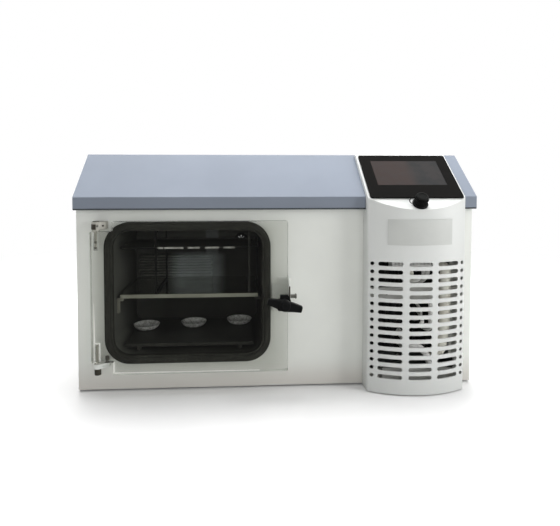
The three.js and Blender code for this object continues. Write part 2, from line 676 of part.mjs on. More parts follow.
function touchBezel() {
  const low = CONSOLE_RISE + GAP;
  const top = low + SCREEN_THICK;
  const frame = prismZ(roundedRect(COLUMN_CENTRE, SCREEN_MIDDLE, SCREEN_WIDTH, SCREEN_DEPTH, 5), low, top);
  const pocketWidth = GLASS_WIDTH + 2 * GAP;
  const pocketDepth = GLASS_DEPTH + 2 * GAP;
  const pocket = prismZ(roundedRect(COLUMN_CENTRE, SCREEN_MIDDLE + GLASS_SHIFT, pocketWidth, pocketDepth, 1),
    top - GLASS_THICK - 2 * GAP, top + 1, 1);
  const halfWidth = SCREEN_WIDTH / 2 - HOUSING_MARGIN;
  const halfDepth = SCREEN_DEPTH / 2 - HOUSING_MARGIN;
  const housing = block(COLUMN_CENTRE - halfWidth, COLUMN_CENTRE + halfWidth,
    SCREEN_MIDDLE - halfDepth, SCREEN_MIDDLE + halfDepth, low - HOUSING_DROP, low);
  return frame.subtract(pocket).add(housing);
}

function touchGlass() {
  const top = CONSOLE_RISE + SCREEN_THICK;
  const pane = roundedRect(COLUMN_CENTRE, SCREEN_MIDDLE + GLASS_SHIFT, GLASS_WIDTH, GLASS_DEPTH, 0.8);
  return prismZ(pane, top - GLASS_THICK, top, 1);
}

function portSocket() {
  const low = CONSOLE_RISE + GAP;
  const flangeTop = low + PORT_FLANGE_THICK;
  const neckTop = flangeTop + PORT_NECK_HEIGHT;
  const barrel = PORT_NECK - GAP;
  return turned([[0, low - 16], [barrel, low - 16], [barrel, low], [PORT_FLANGE, low],
    [PORT_FLANGE, flangeTop - 1], [PORT_FLANGE - 1, flangeTop], [PORT_NECK, flangeTop], [PORT_NECK, neckTop],
    [PORT_BORE, neckTop], [PORT_BORE, low - 8], [0, low - 8]], [COLUMN_CENTRE, -PORT_DOWN, 0]);
}

const CAP_LOW = CONSOLE_RISE + GAP + PORT_FLANGE_THICK + GAP;
const CAP_GROOVE = CAP_LOW + 11;
const GROOVE_WIDTH = 3;
const GROOVE_RADIUS = CAP_RADIUS - 1.3;

function portCap() {
  const grip = new THREE.Shape();
  for (let i = 0; i < 2 * CAP_FLUTES; i += 1) {
    const angle = (i * Math.PI) / CAP_FLUTES;
    const r = i % 2 ? CAP_RADIUS - 0.8 : CAP_RADIUS;
    if (i === 0) grip.moveTo(r, 0);
    else grip.lineTo(r * Math.cos(angle), r * Math.sin(angle));
  }
  grip.closePath();
  const top = CAP_LOW + CAP_HEIGHT;
  const fluted = prismZ(grip, CAP_LOW, top).intersect(turned([[0, CAP_LOW], [CAP_RADIUS, CAP_LOW],
    [CAP_RADIUS, top - 2], [CAP_RADIUS - 2.5, top], [0, top]], [0, 0, 0], [0, 0, 1], 24));
  const wellTop = CAP_LOW + PORT_NECK_HEIGHT + GAP;
  const well = rod([0, 0, CAP_LOW - 1], [0, 0, wellTop], runningBore(PORT_NECK));
  const groove = turned([[GROOVE_RADIUS, CAP_GROOVE], [CAP_RADIUS + 2, CAP_GROOVE],
    [CAP_RADIUS + 2, CAP_GROOVE + GROOVE_WIDTH], [GROOVE_RADIUS, CAP_GROOVE + GROOVE_WIDTH],
    [GROOVE_RADIUS, CAP_GROOVE]]);
  return fluted.subtract(well).subtract(groove).translate([COLUMN_CENTRE, -PORT_DOWN, 0]);
}

function ring(inner, outer, low, high) {
  return turned([[inner, low], [outer, low], [outer, high], [inner, high], [inner, low]]);
}

function capTether() {
  const upperLow = CAP_GROOVE + GAP;
  const upperHigh = CAP_GROOVE + GROOVE_WIDTH - GAP;
  const lowerLow = CONSOLE_RISE + GAP;
  const upper = ring(runningBore(GROOVE_RADIUS), CAP_RADIUS + 1, upperLow, upperHigh);
  const lower = ring(PORT_FLANGE + GAP, PORT_FLANGE + 1.9, lowerLow, lowerLow + PORT_FLANGE_THICK);
  const out = CAP_RADIUS + 6.5;
  const loop = tube([[-CAP_RADIUS - 0.2, 0, (upperLow + upperHigh) / 2], [-out, 0, upperHigh - 1],
    [-out - 2, 0, (upperLow + lowerLow) / 2], [-PORT_FLANGE - 1.2, 0, lowerLow + 1.6]], TETHER_WIRE, 8);
  return joined([upper, lower, loop]).translate([COLUMN_CENTRE, -PORT_DOWN, 0]);
}

// ---------------------------------------------------------------- chamber
function chamberShell() {
  const outer = prismY(chamberOutline(CHAMBER_WALL), SHELL_FRONT, SHELL_BACK, 3);
  const flange = prismY(chamberOutline(CHAMBER_WALL + FLANGE_WIDTH), FLANGE_Y, FLANGE_Y + SHEET, 3);
  const inner = prismY(chamberOutline(0), SHELL_FRONT - 1, SHELL_BACK - CHAMBER_WALL, 3);
  const suction = prismY(circle(VACUUM_X, VACUUM_Z, VACUUM_TUBE - PIPE_WALL), SHELL_BACK - 10, SHELL_BACK + 1, 6);
  const drain = prismZ(circle(DRAIN_X, drainY(), DRAIN_TUBE - 1), CHAMBER_FLOOR - 10, CHAMBER_FLOOR + 1, 4);
  return outer.add(flange).subtract(inner).subtract(suction).subtract(drain);
}

function drainY() {
  return SHELF_Y + SHELF_DEPTH / 2;
}

function chamberInsulation() {
  const front = FLANGE_Y + SHEET + GAP;
  const grow = CHAMBER_WALL + GAP;
  const outer = prismY(roundedRect(CHAMBER_X, CHAMBER_Z, CHAMBER_WIDTH + 2 * FOAM, CHAMBER_HEIGHT + 2 * FOAM, 12),
    front, SHELL_BACK + FOAM, 2);
  const inner = prismY(chamberOutline(grow), front - 1, SHELL_BACK + GAP, 3);
  const pipe = prismY(clearHole(VACUUM_X, VACUUM_Z, VACUUM_TUBE), SHELL_BACK - 1, SHELL_BACK + FOAM + 1,
    HOLE_STEPS);
  const drain = prismZ(clearHole(DRAIN_X, drainY(), DRAIN_TUBE), CHAMBER_FLOOR - FOAM - 5, CHAMBER_FLOOR,
    HOLE_STEPS);
  return outer.subtract(inner).subtract(pipe).subtract(drain);
}

function gasket() {
  const back = PANEL_Y - GAP;
  const shoulder = back - GASKET_DEPTH + GASKET_LIP;
  const inner = prismY(chamberOutline(0), 0, PANEL_Y, 3);
  const base = prismY(chamberOutline(GASKET_SIDE), shoulder, back, 3);
  const crown = prismY(chamberOutline(GASKET_SIDE - 4), back - GASKET_DEPTH, shoulder, 3);
  const hollow = prismY(chamberOutline(5), back - GASKET_DEPTH - 1, shoulder, 3);
  return base.add(crown.subtract(hollow)).subtract(inner);
}

const SHELF_LEFT = CHAMBER_LEFT + SHELF_CLEAR;
const SHELF_RIGHT = CHAMBER_RIGHT - SHELF_CLEAR;

function middleShelf() {
  const top = MIDDLE_SHELF_TOP;
  const plate = outline([[SHELF_Y, top - SHELF_THICK, 1], [SHELF_Y + SHELF_DEPTH, top - SHELF_THICK, 1],
    [SHELF_Y + SHELF_DEPTH, top, 1], [SHELF_Y, top, 1]]);
  return prismX(plate, SHELF_LEFT, SHELF_RIGHT, 2);
}

function lowerShelf() {
  const left = CHAMBER_LEFT + LOWER_SHELF_SIDE;
  const right = CHAMBER_RIGHT - LOWER_SHELF_SIDE;
  const under = LOWER_SHELF_TOP - LOWER_SHELF_THICK;
  const rear = SHELF_Y + SHELF_DEPTH;
  const foot0 = CHAMBER_FLOOR + GAP;
  return joined([block(left, right, SHELF_Y, rear, under, LOWER_SHELF_TOP),
    block(left + RUNNER_INSET, left + RUNNER_INSET + RUNNER, SHELF_Y, rear, foot0, under),
    block(right - RUNNER_INSET - RUNNER, right - RUNNER_INSET, SHELF_Y, rear, foot0, under)]);
}

const RACK_Y = SHELF_Y + 2;
const RACK_DEPTH = SHELF_DEPTH - RACK_SHORT;

function upperShelf() {
  const front = RACK_Y + RACK_BAR + GAP;
  const rear = RACK_Y + RACK_DEPTH - RACK_BAR - GAP;
  const low = UPPER_SHELF_TOP - UPPER_SHELF_THICK;
  const plate = block(SHELF_LEFT, SHELF_RIGHT, front, rear, low, UPPER_SHELF_TOP);
  const tray = block(SHELF_LEFT + 3, SHELF_RIGHT - 3, front + 3, rear - 3, UPPER_SHELF_TOP - 2, UPPER_SHELF_TOP + 1);
  return plate.subtract(tray);
}

/** Rack frame on the middle shelf, with a rail under the upper shelf. */
function rackFrame(sign) {
  const x = sign > 0 ? CHAMBER_RIGHT - RACK_FROM_RIGHT : CHAMBER_LEFT + RACK_FROM_LEFT;
  const low = MIDDLE_SHELF_TOP + GAP;
  const high = CHAMBER_TOP - RACK_BAR;
  const railTop = UPPER_SHELF_TOP - UPPER_SHELF_THICK - GAP;
  const rear = RACK_Y + RACK_DEPTH;
  const frame = outline([[RACK_Y, low], [rear, low], [rear, high], [RACK_Y, high]]);
  const [y0, y1] = [RACK_Y + RACK_BAR, rear - RACK_BAR];
  for (const [z0, z1] of [[low + RACK_BAR, railTop - RACK_BAR], [railTop, high - RACK_BAR]]) {
    frame.holes.push(outline([[y0, z0], [y0, z1], [y1, z1], [y1, z0]]));
  }
  return prismX(frame, x - RACK_BAR / 2, x + RACK_BAR / 2);
}

/** Ledge on a chamber wall under the middle shelf; the left one has a hanging end plate. */
function ledge(sign) {
  const top = MIDDLE_SHELF_TOP - SHELF_THICK - GAP;
  const wall = CHAMBER_X + sign * (CHAMBER_WIDTH / 2 - GAP);
  const edge = wall - sign * LEDGE_WIDTH;
  const [x0, x1] = [Math.min(wall, edge), Math.max(wall, edge)];
  const rail = block(x0, x1, SHELF_Y + 4, SHELF_Y + SHELF_DEPTH - 4, top - LEDGE_THICK, top);
  if (sign > 0) return rail;
  return rail.add(block(x0, x0 + 6, SHELF_Y + 4, SHELF_Y + 10, top - HANGER_DROP, top - LEDGE_THICK));
}

function dish(index) {
  const r = DISH_RADIUS;
  const h = DISH_HEIGHT;
  const profile = [[0, 0], [r * 0.5, 0], [r * 0.8, h * 0.3], [r * 0.95, h * 0.7], [r, h], [r - DISH_WALL, h],
    [r * 0.95 - DISH_WALL, h * 0.73], [r * 0.78, h * 0.4], [r * 0.48, DISH_WALL], [0, DISH_WALL]];
  const first = CHAMBER_LEFT + DISH_FROM_LEFT;
  const pitch = (CHAMBER_RIGHT - DISH_FROM_RIGHT - first) / 2;
  const y = SHELF_Y + DISH_FROM_FRONT + index * DISH_STEP_BACK;
  return turned(profile, [first + index * pitch, y, LOWER_SHELF_TOP + GAP], [0, 0, 1], 16);
}

/** Serpentine of thin tube in front of the chamber's back wall, with both ends through to it. */
function coolingCoil() {
  const r = COIL_TUBE;
  const y = SHELL_BACK - CHAMBER_WALL - COIL_FROM_BACK;
  const wall = SHELL_BACK - CHAMBER_WALL - GAP;
  const left = CHAMBER_LEFT + COIL_FROM_LEFT;
  const right = left + COIL_LENGTH;
  const bottom = MIDDLE_SHELF_TOP + COIL_RISE;
  const bend = COIL_PITCH / 2;
  const level = (run) => bottom + run * COIL_PITCH;
  const last = COIL_RUNS - 1;
  const edge = new THREE.Shape(); // up one side of the tube, then back down the other
  edge.moveTo(left, level(0) + r);
  edge.lineTo(left, level(0) - r);
  for (let run = 0; run < last; run += 1) {
    const turnsRight = run % 2 === 0;
    const end = turnsRight ? right : left;
    const bow = turnsRight ? bend + r : bend - r;
    edge.absarc(end, level(run) + bend, bow, -Math.PI / 2, Math.PI / 2, !turnsRight);
  }
  const finish = last % 2 === 0 ? right : left;
  edge.lineTo(finish, level(last) - (last % 2 === 0 ? r : -r));
  edge.lineTo(finish, level(last) + (last % 2 === 0 ? r : -r));
  for (let run = last - 1; run >= 0; run -= 1) {
    const turnsRight = run % 2 === 0;
    const end = turnsRight ? right : left;
    const bow = turnsRight ? bend - r : bend + r;
    edge.absarc(end, level(run) + bend, bow, Math.PI / 2, -Math.PI / 2, turnsRight);
  }
  edge.closePath();
  const chamfer = r * 0.55;
  const serpentine = new THREE.ExtrudeGeometry(edge, {
    depth: 2 * (r - chamfer), bevelThickness: chamfer, bevelSize: chamfer, bevelOffset: -chamfer,
    bevelSegments: 1, curveSegments: 2,
  });
  serpentine.rotateX(Math.PI / 2).translate(0, y + r - chamfer, 0);
  const ends = [level(0), level(last)].map((z) => rod([left + 3, y, z], [left + 3, wall, z], r * 0.9, 8));
  return solid(serpentine).add(joined(ends));
}

// ---------------------------------------------------------------- door, hinges and latch
function acrylicDoor() {
  const left = DOOR_LEFT;
  const notch = left + NOTCH_WIDTH;
  const upper = DOOR_TOP - NOTCH_HEIGHT_TOP;
  const lower = DOOR_BOTTOM + NOTCH_HEIGHT_BOTTOM;
  const pane = prismY(outline([[notch, DOOR_BOTTOM, 2], [DOOR_RIGHT, DOOR_BOTTOM, 4], [DOOR_RIGHT, DOOR_TOP, 4],
    [notch, DOOR_TOP, 2], [notch, upper, 2], [left, upper, 2], [left, lower, 2], [notch, lower, 2]]),
  DOOR_FRONT, DOOR_BACK, 3);
  const bore = runningBore(PIN_RADIUS);
  const upperBore = rod([HINGE_X, HINGE_Y, upper - PIN_IN_DOOR], [HINGE_X, HINGE_Y, upper + 1], bore);
  const lowerBore = rod([HINGE_X, HINGE_Y, lower - 1], [HINGE_X, HINGE_Y, lower + PIN_IN_DOOR], bore);
  const studHole = rod([LATCH_X, DOOR_FRONT - 1, LATCH_Z], [LATCH_X, DOOR_BACK + 1, LATCH_Z], runningBore(STUD_RADIUS));
  return pane.subtract(upperBore).subtract(lowerBore).subtract(studHole);
}

/** Level at which the hinge bracket (-1 lower, 1 upper) faces the door. */
function bracketFace(sign) {
  const stile = sign > 0 ? DOOR_TOP - NOTCH_HEIGHT_TOP : DOOR_BOTTOM + NOTCH_HEIGHT_BOTTOM;
  return stile + sign * WASHER_ROOM;
}

function hingeBracket(sign) {
  const face = bracketFace(sign);
  const far = face + sign * BRACKET_THICK;
  const left = HINGE_X - BRACKET_NOSE;
  const plan = new THREE.Shape();
  plan.moveTo(left + BRACKET_WIDTH, PANEL_Y - GAP);
  plan.lineTo(left, PANEL_Y - GAP);
  plan.absarc(HINGE_X, HINGE_Y, BRACKET_NOSE, Math.PI, 1.75 * Math.PI);
  plan.lineTo(left + BRACKET_WIDTH, HINGE_Y + BRACKET_NOSE * 0.4);
  plan.closePath();
  const hole = rod([HINGE_X, HINGE_Y, Math.min(face, far) - 1], [HINGE_X, HINGE_Y, Math.max(face, far) + 1],
    PIN_RADIUS + GAP);
  return prismZ(plan, Math.min(face, far), Math.max(face, far), 8).subtract(hole);
}

function hingePin(sign) {
  const far = bracketFace(sign) + sign * BRACKET_THICK;
  const tip = bracketFace(sign) - sign * (WASHER_ROOM + PIN_IN_DOOR - 2);
  return rod([HINGE_X, HINGE_Y, Math.min(far, tip)], [HINGE_X, HINGE_Y, Math.max(far, tip)], PIN_RADIUS);
}

function hingeWasher(sign) {
  const near = bracketFace(sign) - sign * GAP;
  const far = bracketFace(sign) - sign * (WASHER_ROOM - GAP);
  const [low, high] = [Math.min(near, far), Math.max(near, far)];
  return ring(PIN_RADIUS + GAP, WASHER_RADIUS, low, high).translate([HINGE_X, HINGE_Y, 0]);
}

const EAR_X = DOOR_RIGHT + EAR_GAP;
const EAR_LOW = LATCH_Z + EAR_RISE;
const PEG_Y = HINGE_Y + 1;
const PEG_Z = LATCH_Z + PEG_RISE;

/** Angle bracket on the front panel: a foot behind the door with a boss for the stud, and an ear. */
function latchBracket() {
  const back = PANEL_Y - GAP;
  const front = back - BRACKET_PLATE;
  const right = EAR_X + BRACKET_PLATE;
  const plate = block(LATCH_X - BRACKET_FOOT_SIDE, right, front, back, LATCH_Z - BRACKET_FOOT_DROP,
    LATCH_Z + BRACKET_FOOT_RISE);
  const ear = prismX(outline([[back, EAR_LOW], [back, EAR_LOW + EAR_HEIGHT], [DOOR_FRONT + 2, EAR_LOW + EAR_HEIGHT, 5],
    [DOOR_FRONT + 2, EAR_LOW, 5]]), EAR_X, right);
  const tab = block(LATCH_X - TAB_SIDE, right, back - TAB_THICK, back, LATCH_Z, EAR_LOW + EAR_HEIGHT);
  const boss = rod([LATCH_X, DOOR_BACK + 3, LATCH_Z], [LATCH_X, front, LATCH_Z], BOSS_RADIUS, 20);
  const socket = rod([LATCH_X, DOOR_BACK, LATCH_Z], [LATCH_X, back + 1, LATCH_Z], STUD_RADIUS + STUD_PLAY);
  const pegHole = rod([EAR_X - 1, PEG_Y, PEG_Z], [right + 1, PEG_Y, PEG_Z], PEG_RADIUS + GAP);
  return joined([plate, tab, ear, boss]).subtract(socket).subtract(pegHole);
}

function latchPeg() {
  const head = 3;
  const reach = PEG_LENGTH - head;
  return turned([[0, 0], [PEG_RADIUS, 0], [PEG_RADIUS, reach], [PEG_RADIUS + 1.5, reach],
    [PEG_RADIUS + 1.5, PEG_LENGTH - 0.8], [PEG_RADIUS + 0.7, PEG_LENGTH], [0, PEG_LENGTH]],
  [EAR_X + GAP, PEG_Y, PEG_Z], [1, 0, 0], 16);
}

const BUSH_BACK = DOOR_FRONT - GAP;
const KNOB_BACK = BUSH_BACK - BUSH_THICK - GAP;

function latchBush() {
  const [half, neck, top] = [BUSH_WIDTH / 2, BUSH_NECK / 2, LATCH_Z + BUSH_RISE];
  const shoulder = LATCH_Z + BUSH_SHOULDER;
  const shape = outline([[LATCH_X - half, LATCH_Z - BUSH_DROP, 4], [LATCH_X + half, LATCH_Z - BUSH_DROP, 4],
    [LATCH_X + half, shoulder - 2, 2], [LATCH_X + neck, top, 2], [LATCH_X - neck, top, 2],
    [LATCH_X - neck, shoulder, 1], [LATCH_X - half, shoulder, 2]]);
  const hole = rod([LATCH_X, KNOB_BACK - 1, LATCH_Z], [LATCH_X, DOOR_FRONT, LATCH_Z], runningBore(STUD_RADIUS));
  return prismY(shape, BUSH_BACK - BUSH_THICK, BUSH_BACK, 3).subtract(hole);
}

/** T-shaped clamping knob, with wings that swell towards the hub. */
function tKnob() {
  const half = KNOB_LENGTH / 2;
  const wing = outline([[-half, -WING_TIP, 3], [-half / 2, -WING_MIDDLE, 8], [0, -WING_ROOT - 1, 6],
    [half / 2, -WING_MIDDLE, 8], [half, -WING_TIP, 3], [half, WING_TIP, 3], [half / 2, WING_MIDDLE, 8],
    [0, WING_ROOT - 1, 6], [-half / 2, WING_MIDDLE, 8], [-half, WING_TIP, 3]]);
  const bevel = 2;
  const geometry = new THREE.ExtrudeGeometry(wing, {
    depth: KNOB_DEPTH * 0.55 - 2 * bevel, bevelThickness: bevel, bevelSize: bevel, bevelOffset: -bevel,
    bevelSegments: 1, curveSegments: 3,
  });
  geometry.rotateX(Math.PI / 2).translate(0, -KNOB_DEPTH * 0.35, 0);
  const hub = turned([[0, 0], [KNOB_HUB - 3, 0], [KNOB_HUB, KNOB_DEPTH * 0.3], [KNOB_HUB, KNOB_DEPTH - 3],
    [KNOB_HUB - 3, KNOB_DEPTH], [0, KNOB_DEPTH]], [0, 0, 0], [0, -1, 0]);
  const bore = rod([0, 1, 0], [0, -KNOB_DEPTH * 0.6, 0], runningBore(STUD_RADIUS));
  return solid(geometry).add(hub).subtract(bore)
    .rotate([0, THREE.MathUtils.radToDeg(KNOB_TILT), 0]).translate([LATCH_X, KNOB_BACK, LATCH_Z]);
}

function latchStud() {
  const inKnob = KNOB_BACK - KNOB_DEPTH * 0.6 + GAP;
  const tip = PANEL_Y - GAP - BRACKET_PLATE - 0.5;
  return turned([[0, 0], [STUD_RADIUS, 0], [STUD_RADIUS, tip - inKnob - 2], [STUD_RADIUS - 1.5, tip - inKnob],
    [0, tip - inKnob]], [LATCH_X, inKnob, LATCH_Z], [0, 1, 0], 16);
}

// ---------------------------------------------------------------- refrigeration
const CONDENSER_Y = PANEL_Y + CONDENSER_FRONT;
const SHROUD_Y = CONDENSER_Y + CONDENSER_DEPTH + GAP;
const SHROUD_THICK = 3;
const FAN_BACK = SHROUD_Y + 34;

/** Finned block: thin upright fins on both sides of a core, on two feet. */
function condenser() {
  const half = CONDENSER_WIDTH / 2;
  const coreFront = CONDENSER_Y + CONDENSER_DEPTH * 0.4;
  const coreBack = CONDENSER_Y + CONDENSER_DEPTH * 0.6;
  const low = FAN_Z - CONDENSER_HEIGHT / 2;
  const core = block(COLUMN_CENTRE - half, COLUMN_CENTRE + half, coreFront, coreBack, low, low + CONDENSER_HEIGHT);
  const parts = [core];
  const fins = Math.floor((CONDENSER_WIDTH - FIN_THICK) / FIN_PITCH);
  for (let i = 0; i <= fins; i += 1) {
    const x = COLUMN_CENTRE - (fins * FIN_PITCH) / 2 + i * FIN_PITCH;
    parts.push(block(x - FIN_THICK / 2, x + FIN_THICK / 2, CONDENSER_Y, CONDENSER_Y + CONDENSER_DEPTH,
      low, low + CONDENSER_HEIGHT));
  }
  parts.push(mirroredAt(COLUMN_CENTRE, (x0, x1) => block(x0, x1, CONDENSER_Y + 8,
    CONDENSER_Y + CONDENSER_DEPTH - 8, FLOOR_Z, low + 4), half - 20, half - 2));
  return wasm.Manifold.union(parts);
}

/** The same block on both sides of x = middle, from near to far of it. */
function mirroredAt(middle, make, near, far) {
  return make(middle - far, middle - near).add(make(middle + near, middle + far));
}

function fanShroud() {
  const half = CONDENSER_WIDTH / 2 + 4;
  const low = FLOOR_Z;
  const high = FAN_Z + CONDENSER_HEIGHT / 2;
  const plate = block(COLUMN_CENTRE - half, COLUMN_CENTRE + half, SHROUD_Y, SHROUD_Y + SHROUD_THICK, low, high);
  const mouth = rod([COLUMN_CENTRE, SHROUD_Y - 1, FAN_Z], [COLUMN_CENTRE, FAN_BACK + 5, FAN_Z], FAN_RADIUS + 4, 32);
  const collar = rod([COLUMN_CENTRE, SHROUD_Y, FAN_Z], [COLUMN_CENTRE, FAN_BACK, FAN_Z], FAN_RADIUS + 7, 32);
  return plate.add(collar).subtract(mouth);
}

const ROTOR_Y = SHROUD_Y + 8;
const ROTOR_DEPTH = 20;
const MOTOR_Y = FAN_BACK + GAP;

function fanRotor() {
  const hub = rod([0, ROTOR_DEPTH, 0], [0, 0, 0], 24, 24);
  const blades = [];
  for (let i = 0; i < FAN_BLADES; i += 1) {
    const outlineOfBlade = outline([[20, -11], [FAN_RADIUS - 6, -20, 8], [FAN_RADIUS, 12, 10], [20, 13]]);
    const blade = new THREE.ExtrudeGeometry(outlineOfBlade, { depth: 1.8, bevelEnabled: false, curveSegments: 3 });
    blade.translate(0, 0, -0.9).rotateX(Math.PI / 2 + 0.42).translate(0, ROTOR_DEPTH / 2, 0);
    blade.rotateY((i * 2 * Math.PI) / FAN_BLADES);
    blades.push(solid(blade));
  }
  const bore = rod([0, ROTOR_DEPTH + 1, 0], [0, 4, 0], 4 + GAP);
  return wasm.Manifold.union([hub, ...blades]).subtract(bore).translate([COLUMN_CENTRE, ROTOR_Y, FAN_Z]);
}

/** Motor behind the rotor, on four arms that reach the shroud's collar. */
function fanMotor() {
  const shaft = rod([COLUMN_CENTRE, ROTOR_Y + 6, FAN_Z], [COLUMN_CENTRE, MOTOR_Y + 2, FAN_Z], 4);
  const body = turned([[0, 0], [26, 0], [26, 30], [20, 38], [0, 38]], [COLUMN_CENTRE, MOTOR_Y, FAN_Z], [0, 1, 0]);
  const reach = FAN_RADIUS + 7;
  const arms = [block(-reach, reach, MOTOR_Y, MOTOR_Y + 4, -5, 5), block(-5, 5, MOTOR_Y, MOTOR_Y + 4, -reach, reach)];
  return joined([shaft, body, joined(arms).rotate([0, 45, 0]).translate([COLUMN_CENTRE, 0, FAN_Z])]);
}

/** Welded steel dome on a foot plate, with a terminal box on its side. */
function compressor() {
  const r = COMPRESSOR_RADIUS;
  const h = COMPRESSOR_HEIGHT;
  const plate = prismZ(roundedRect(COMPRESSOR_X, COMPRESSOR_Y, 2 * r + 20, 1.5 * r, 14), FLOOR_Z, FLOOR_Z + 6, 3);
  const dome = turned([[0, 4], [r * 0.7, 4], [r * 0.95, 22], [r, 40], [r, h * 0.55], [r * 1.03, h * 0.56],
    [r * 1.03, h * 0.6], [r * 0.97, h * 0.61], [r * 0.93, h * 0.8], [r * 0.7, h * 0.95], [r * 0.3, h], [0, h]],
  [COMPRESSOR_X, COMPRESSOR_Y, FLOOR_Z], [0, 0, 1], 16);
  const terminals = block(COMPRESSOR_X - r - 16, COMPRESSOR_X - r * 0.7, COMPRESSOR_Y - 24, COMPRESSOR_Y + 24,
    FLOOR_Z + TERMINAL_LOW, FLOOR_Z + TERMINAL_LOW + TERMINAL_HEIGHT);
  return joined([plate, dome, terminals]);
}

function filterDrier() {
  const [x, y, z] = [CHAMBER_RIGHT + DRIER_FROM_CHAMBER, COMPRESSOR_Y - DRIER_FROM_COMPRESSOR, DRIER_LOW];
  const cone = DRIER_NECK_LENGTH + DRIER_CONE;
  const capsule = turned([[0, 0], [DRIER_NECK, 0], [DRIER_NECK, DRIER_NECK_LENGTH], [DRIER_RADIUS, cone],
    [DRIER_RADIUS, DRIER_LENGTH - cone], [DRIER_NECK, DRIER_LENGTH - DRIER_NECK_LENGTH],
    [DRIER_NECK, DRIER_LENGTH], [0, DRIER_LENGTH]], [x, y, z]);
  const clip = block(x - 4, x + 4, y + 10, y + 18, FLOOR_Z, z + 60);
  const sole = block(x - 14, x + 14, y + 10, y + 40, FLOOR_Z, FLOOR_Z + 3);
  return joined([capsule, clip, sole]);
}

/** Hot gas line: from the compressor's dome forward to the top of the condenser. */
function dischargePipe() {
  const top = FAN_Z + CONDENSER_HEIGHT / 2 + 6;
  const domeTop = FLOOR_Z + COMPRESSOR_HEIGHT + GAP;
  const x = COLUMN_CENTRE + CONDENSER_WIDTH / 2 - 12;
  return tube([[COMPRESSOR_X, COMPRESSOR_Y, domeTop], [COMPRESSOR_X, COMPRESSOR_Y, domeTop + 60],
    [COMPRESSOR_X + 30, COMPRESSOR_Y - 60, domeTop + 95], [x, SHROUD_Y + 30, domeTop + 100],
    [x, CONDENSER_Y + CONDENSER_DEPTH / 2, top + 20], [x, CONDENSER_Y + CONDENSER_DEPTH / 2, top - 6 + GAP]],
  4, 22);
}

/** Cold line: from the chamber's foam across to the compressor's side. */
function suctionPipe() {
  const x = CHAMBER_RIGHT + FOAM + GAP;
  const y = SHELL_BACK - SUCTION_FROM_BACK;
  const z = CHAMBER_Z + SUCTION_RISE;
  const shell = COMPRESSOR_X - COMPRESSOR_RADIUS - GAP;
  const low = FLOOR_Z + SUCTION_HEIGHT;
  return tube([[x, y, z], [x + 40, y, z], [shell - 105.7, COMPRESSOR_Y - 100, low + 168.7],
    [shell - 75.7, COMPRESSOR_Y - 40, low + 98.7], [shell - 30, COMPRESSOR_Y, low], [shell, COMPRESSOR_Y, low]],
  5, 20);
}

function controlBox() {
  const x0 = COMPRESSOR_X - BOX_FROM_COMPRESSOR - BOX_WIDTH / 2;
  const x1 = x0 + BOX_WIDTH;
  const y1 = REAR_PANEL_Y - BOX_FROM_REAR;
  const y0 = y1 - BOX_DEPTH;
  const z1 = FLOOR_Z + BOX_HEIGHT;
  const body = block(x0, x1, y0, y1, FLOOR_Z, z1);
  const cover = block(x0 - 2, x1 + 2, y0 - 2, y1 + 2, z1 - 12, z1 + 2);
  return body.add(cover);
}

// ---------------------------------------------------------------- rear services
const PORT_PIPE_END = REAR_PANEL_Y - 26;

function vacuumPipe() {
  const r = VACUUM_TUBE;
  const [y0, y1] = [SHELL_BACK + GAP, PORT_PIPE_END];
  return ringAlongY(r - PIPE_WALL, r, y0, y1, VACUUM_X, VACUUM_Z);
}

function ringAlongY(inner, outer, y0, y1, x, z) {
  return turned([[inner, 0], [outer, 0], [outer, y1 - y0], [inner, y1 - y0], [inner, 0]], [x, y0, z], [0, 1, 0]);
}

/** Flanged vacuum port, with a collar that seats on the rear panel. */
function vacuumPort() {
  const r = VACUUM_TUBE;
  const start = PORT_PIPE_END + GAP;
  const end = REAR_Y + REAR_REACH;
  const seat = REAR_PANEL_Y + SHEET + GAP;
  const bore = r - PIPE_WALL;
  const profile = [[bore, 0], [r, 0], [r, seat - start], [r + 8, seat - start], [r + 8, seat - start + 3],
    [r, seat - start + 3], [r, end - start - 6], [VACUUM_FLANGE, end - start - 3], [VACUUM_FLANGE, end - start],
    [bore, end - start], [bore, 0]];
  return turned(profile, [VACUUM_X, start, VACUUM_Z], [0, 1, 0]);
}

/** Appliance inlet: flange, recess and three contact blades. */
function mainsInlet() {
  const seat = REAR_PANEL_Y + SHEET + GAP;
  const flange = prismY(roundedRect(INLET_X, INLET_Z, 48, 28, 4), seat, seat + 3, 3);
  const body = prismY(roundedRect(INLET_X, INLET_Z, 28, 20, 2), seat - 24, seat, 1);
  const recess = prismY(roundedRect(INLET_X, INLET_Z, 24, 16.5, 2), seat - 15, seat + 4, 1);
  const blade = (dx, dz) => block(INLET_X + dx - 1, INLET_X + dx + 1, seat - 16, seat - 1,
    INLET_Z + dz - 2, INLET_Z + dz + 2);
  return joined([flange.add(body).subtract(recess), blade(-7, -2), blade(7, -2), blade(0, 3)]);
}

const ROCKER_SEAT = REAR_PANEL_Y + SHEET + GAP;

function switchFrame() {
  const flange = prismY(roundedRect(SWITCH_X, INLET_Z, 34, 28, 3), ROCKER_SEAT, ROCKER_SEAT + 2, 3);
  const body = prismY(roundedRect(SWITCH_X, INLET_Z, 28, 22, 1), ROCKER_SEAT - 20, ROCKER_SEAT, 1);
  const well = block(SWITCH_X - 8, SWITCH_X + 8, ROCKER_SEAT - 12, ROCKER_SEAT + 3, INLET_Z - 9.5, INLET_Z + 9.5);
  const pivots = rod([SWITCH_X - 8.5, ROCKER_SEAT - 3, INLET_Z], [SWITCH_X + 8.5, ROCKER_SEAT - 3, INLET_Z], 1.5, 12);
  return flange.add(body).subtract(well).add(pivots);
}

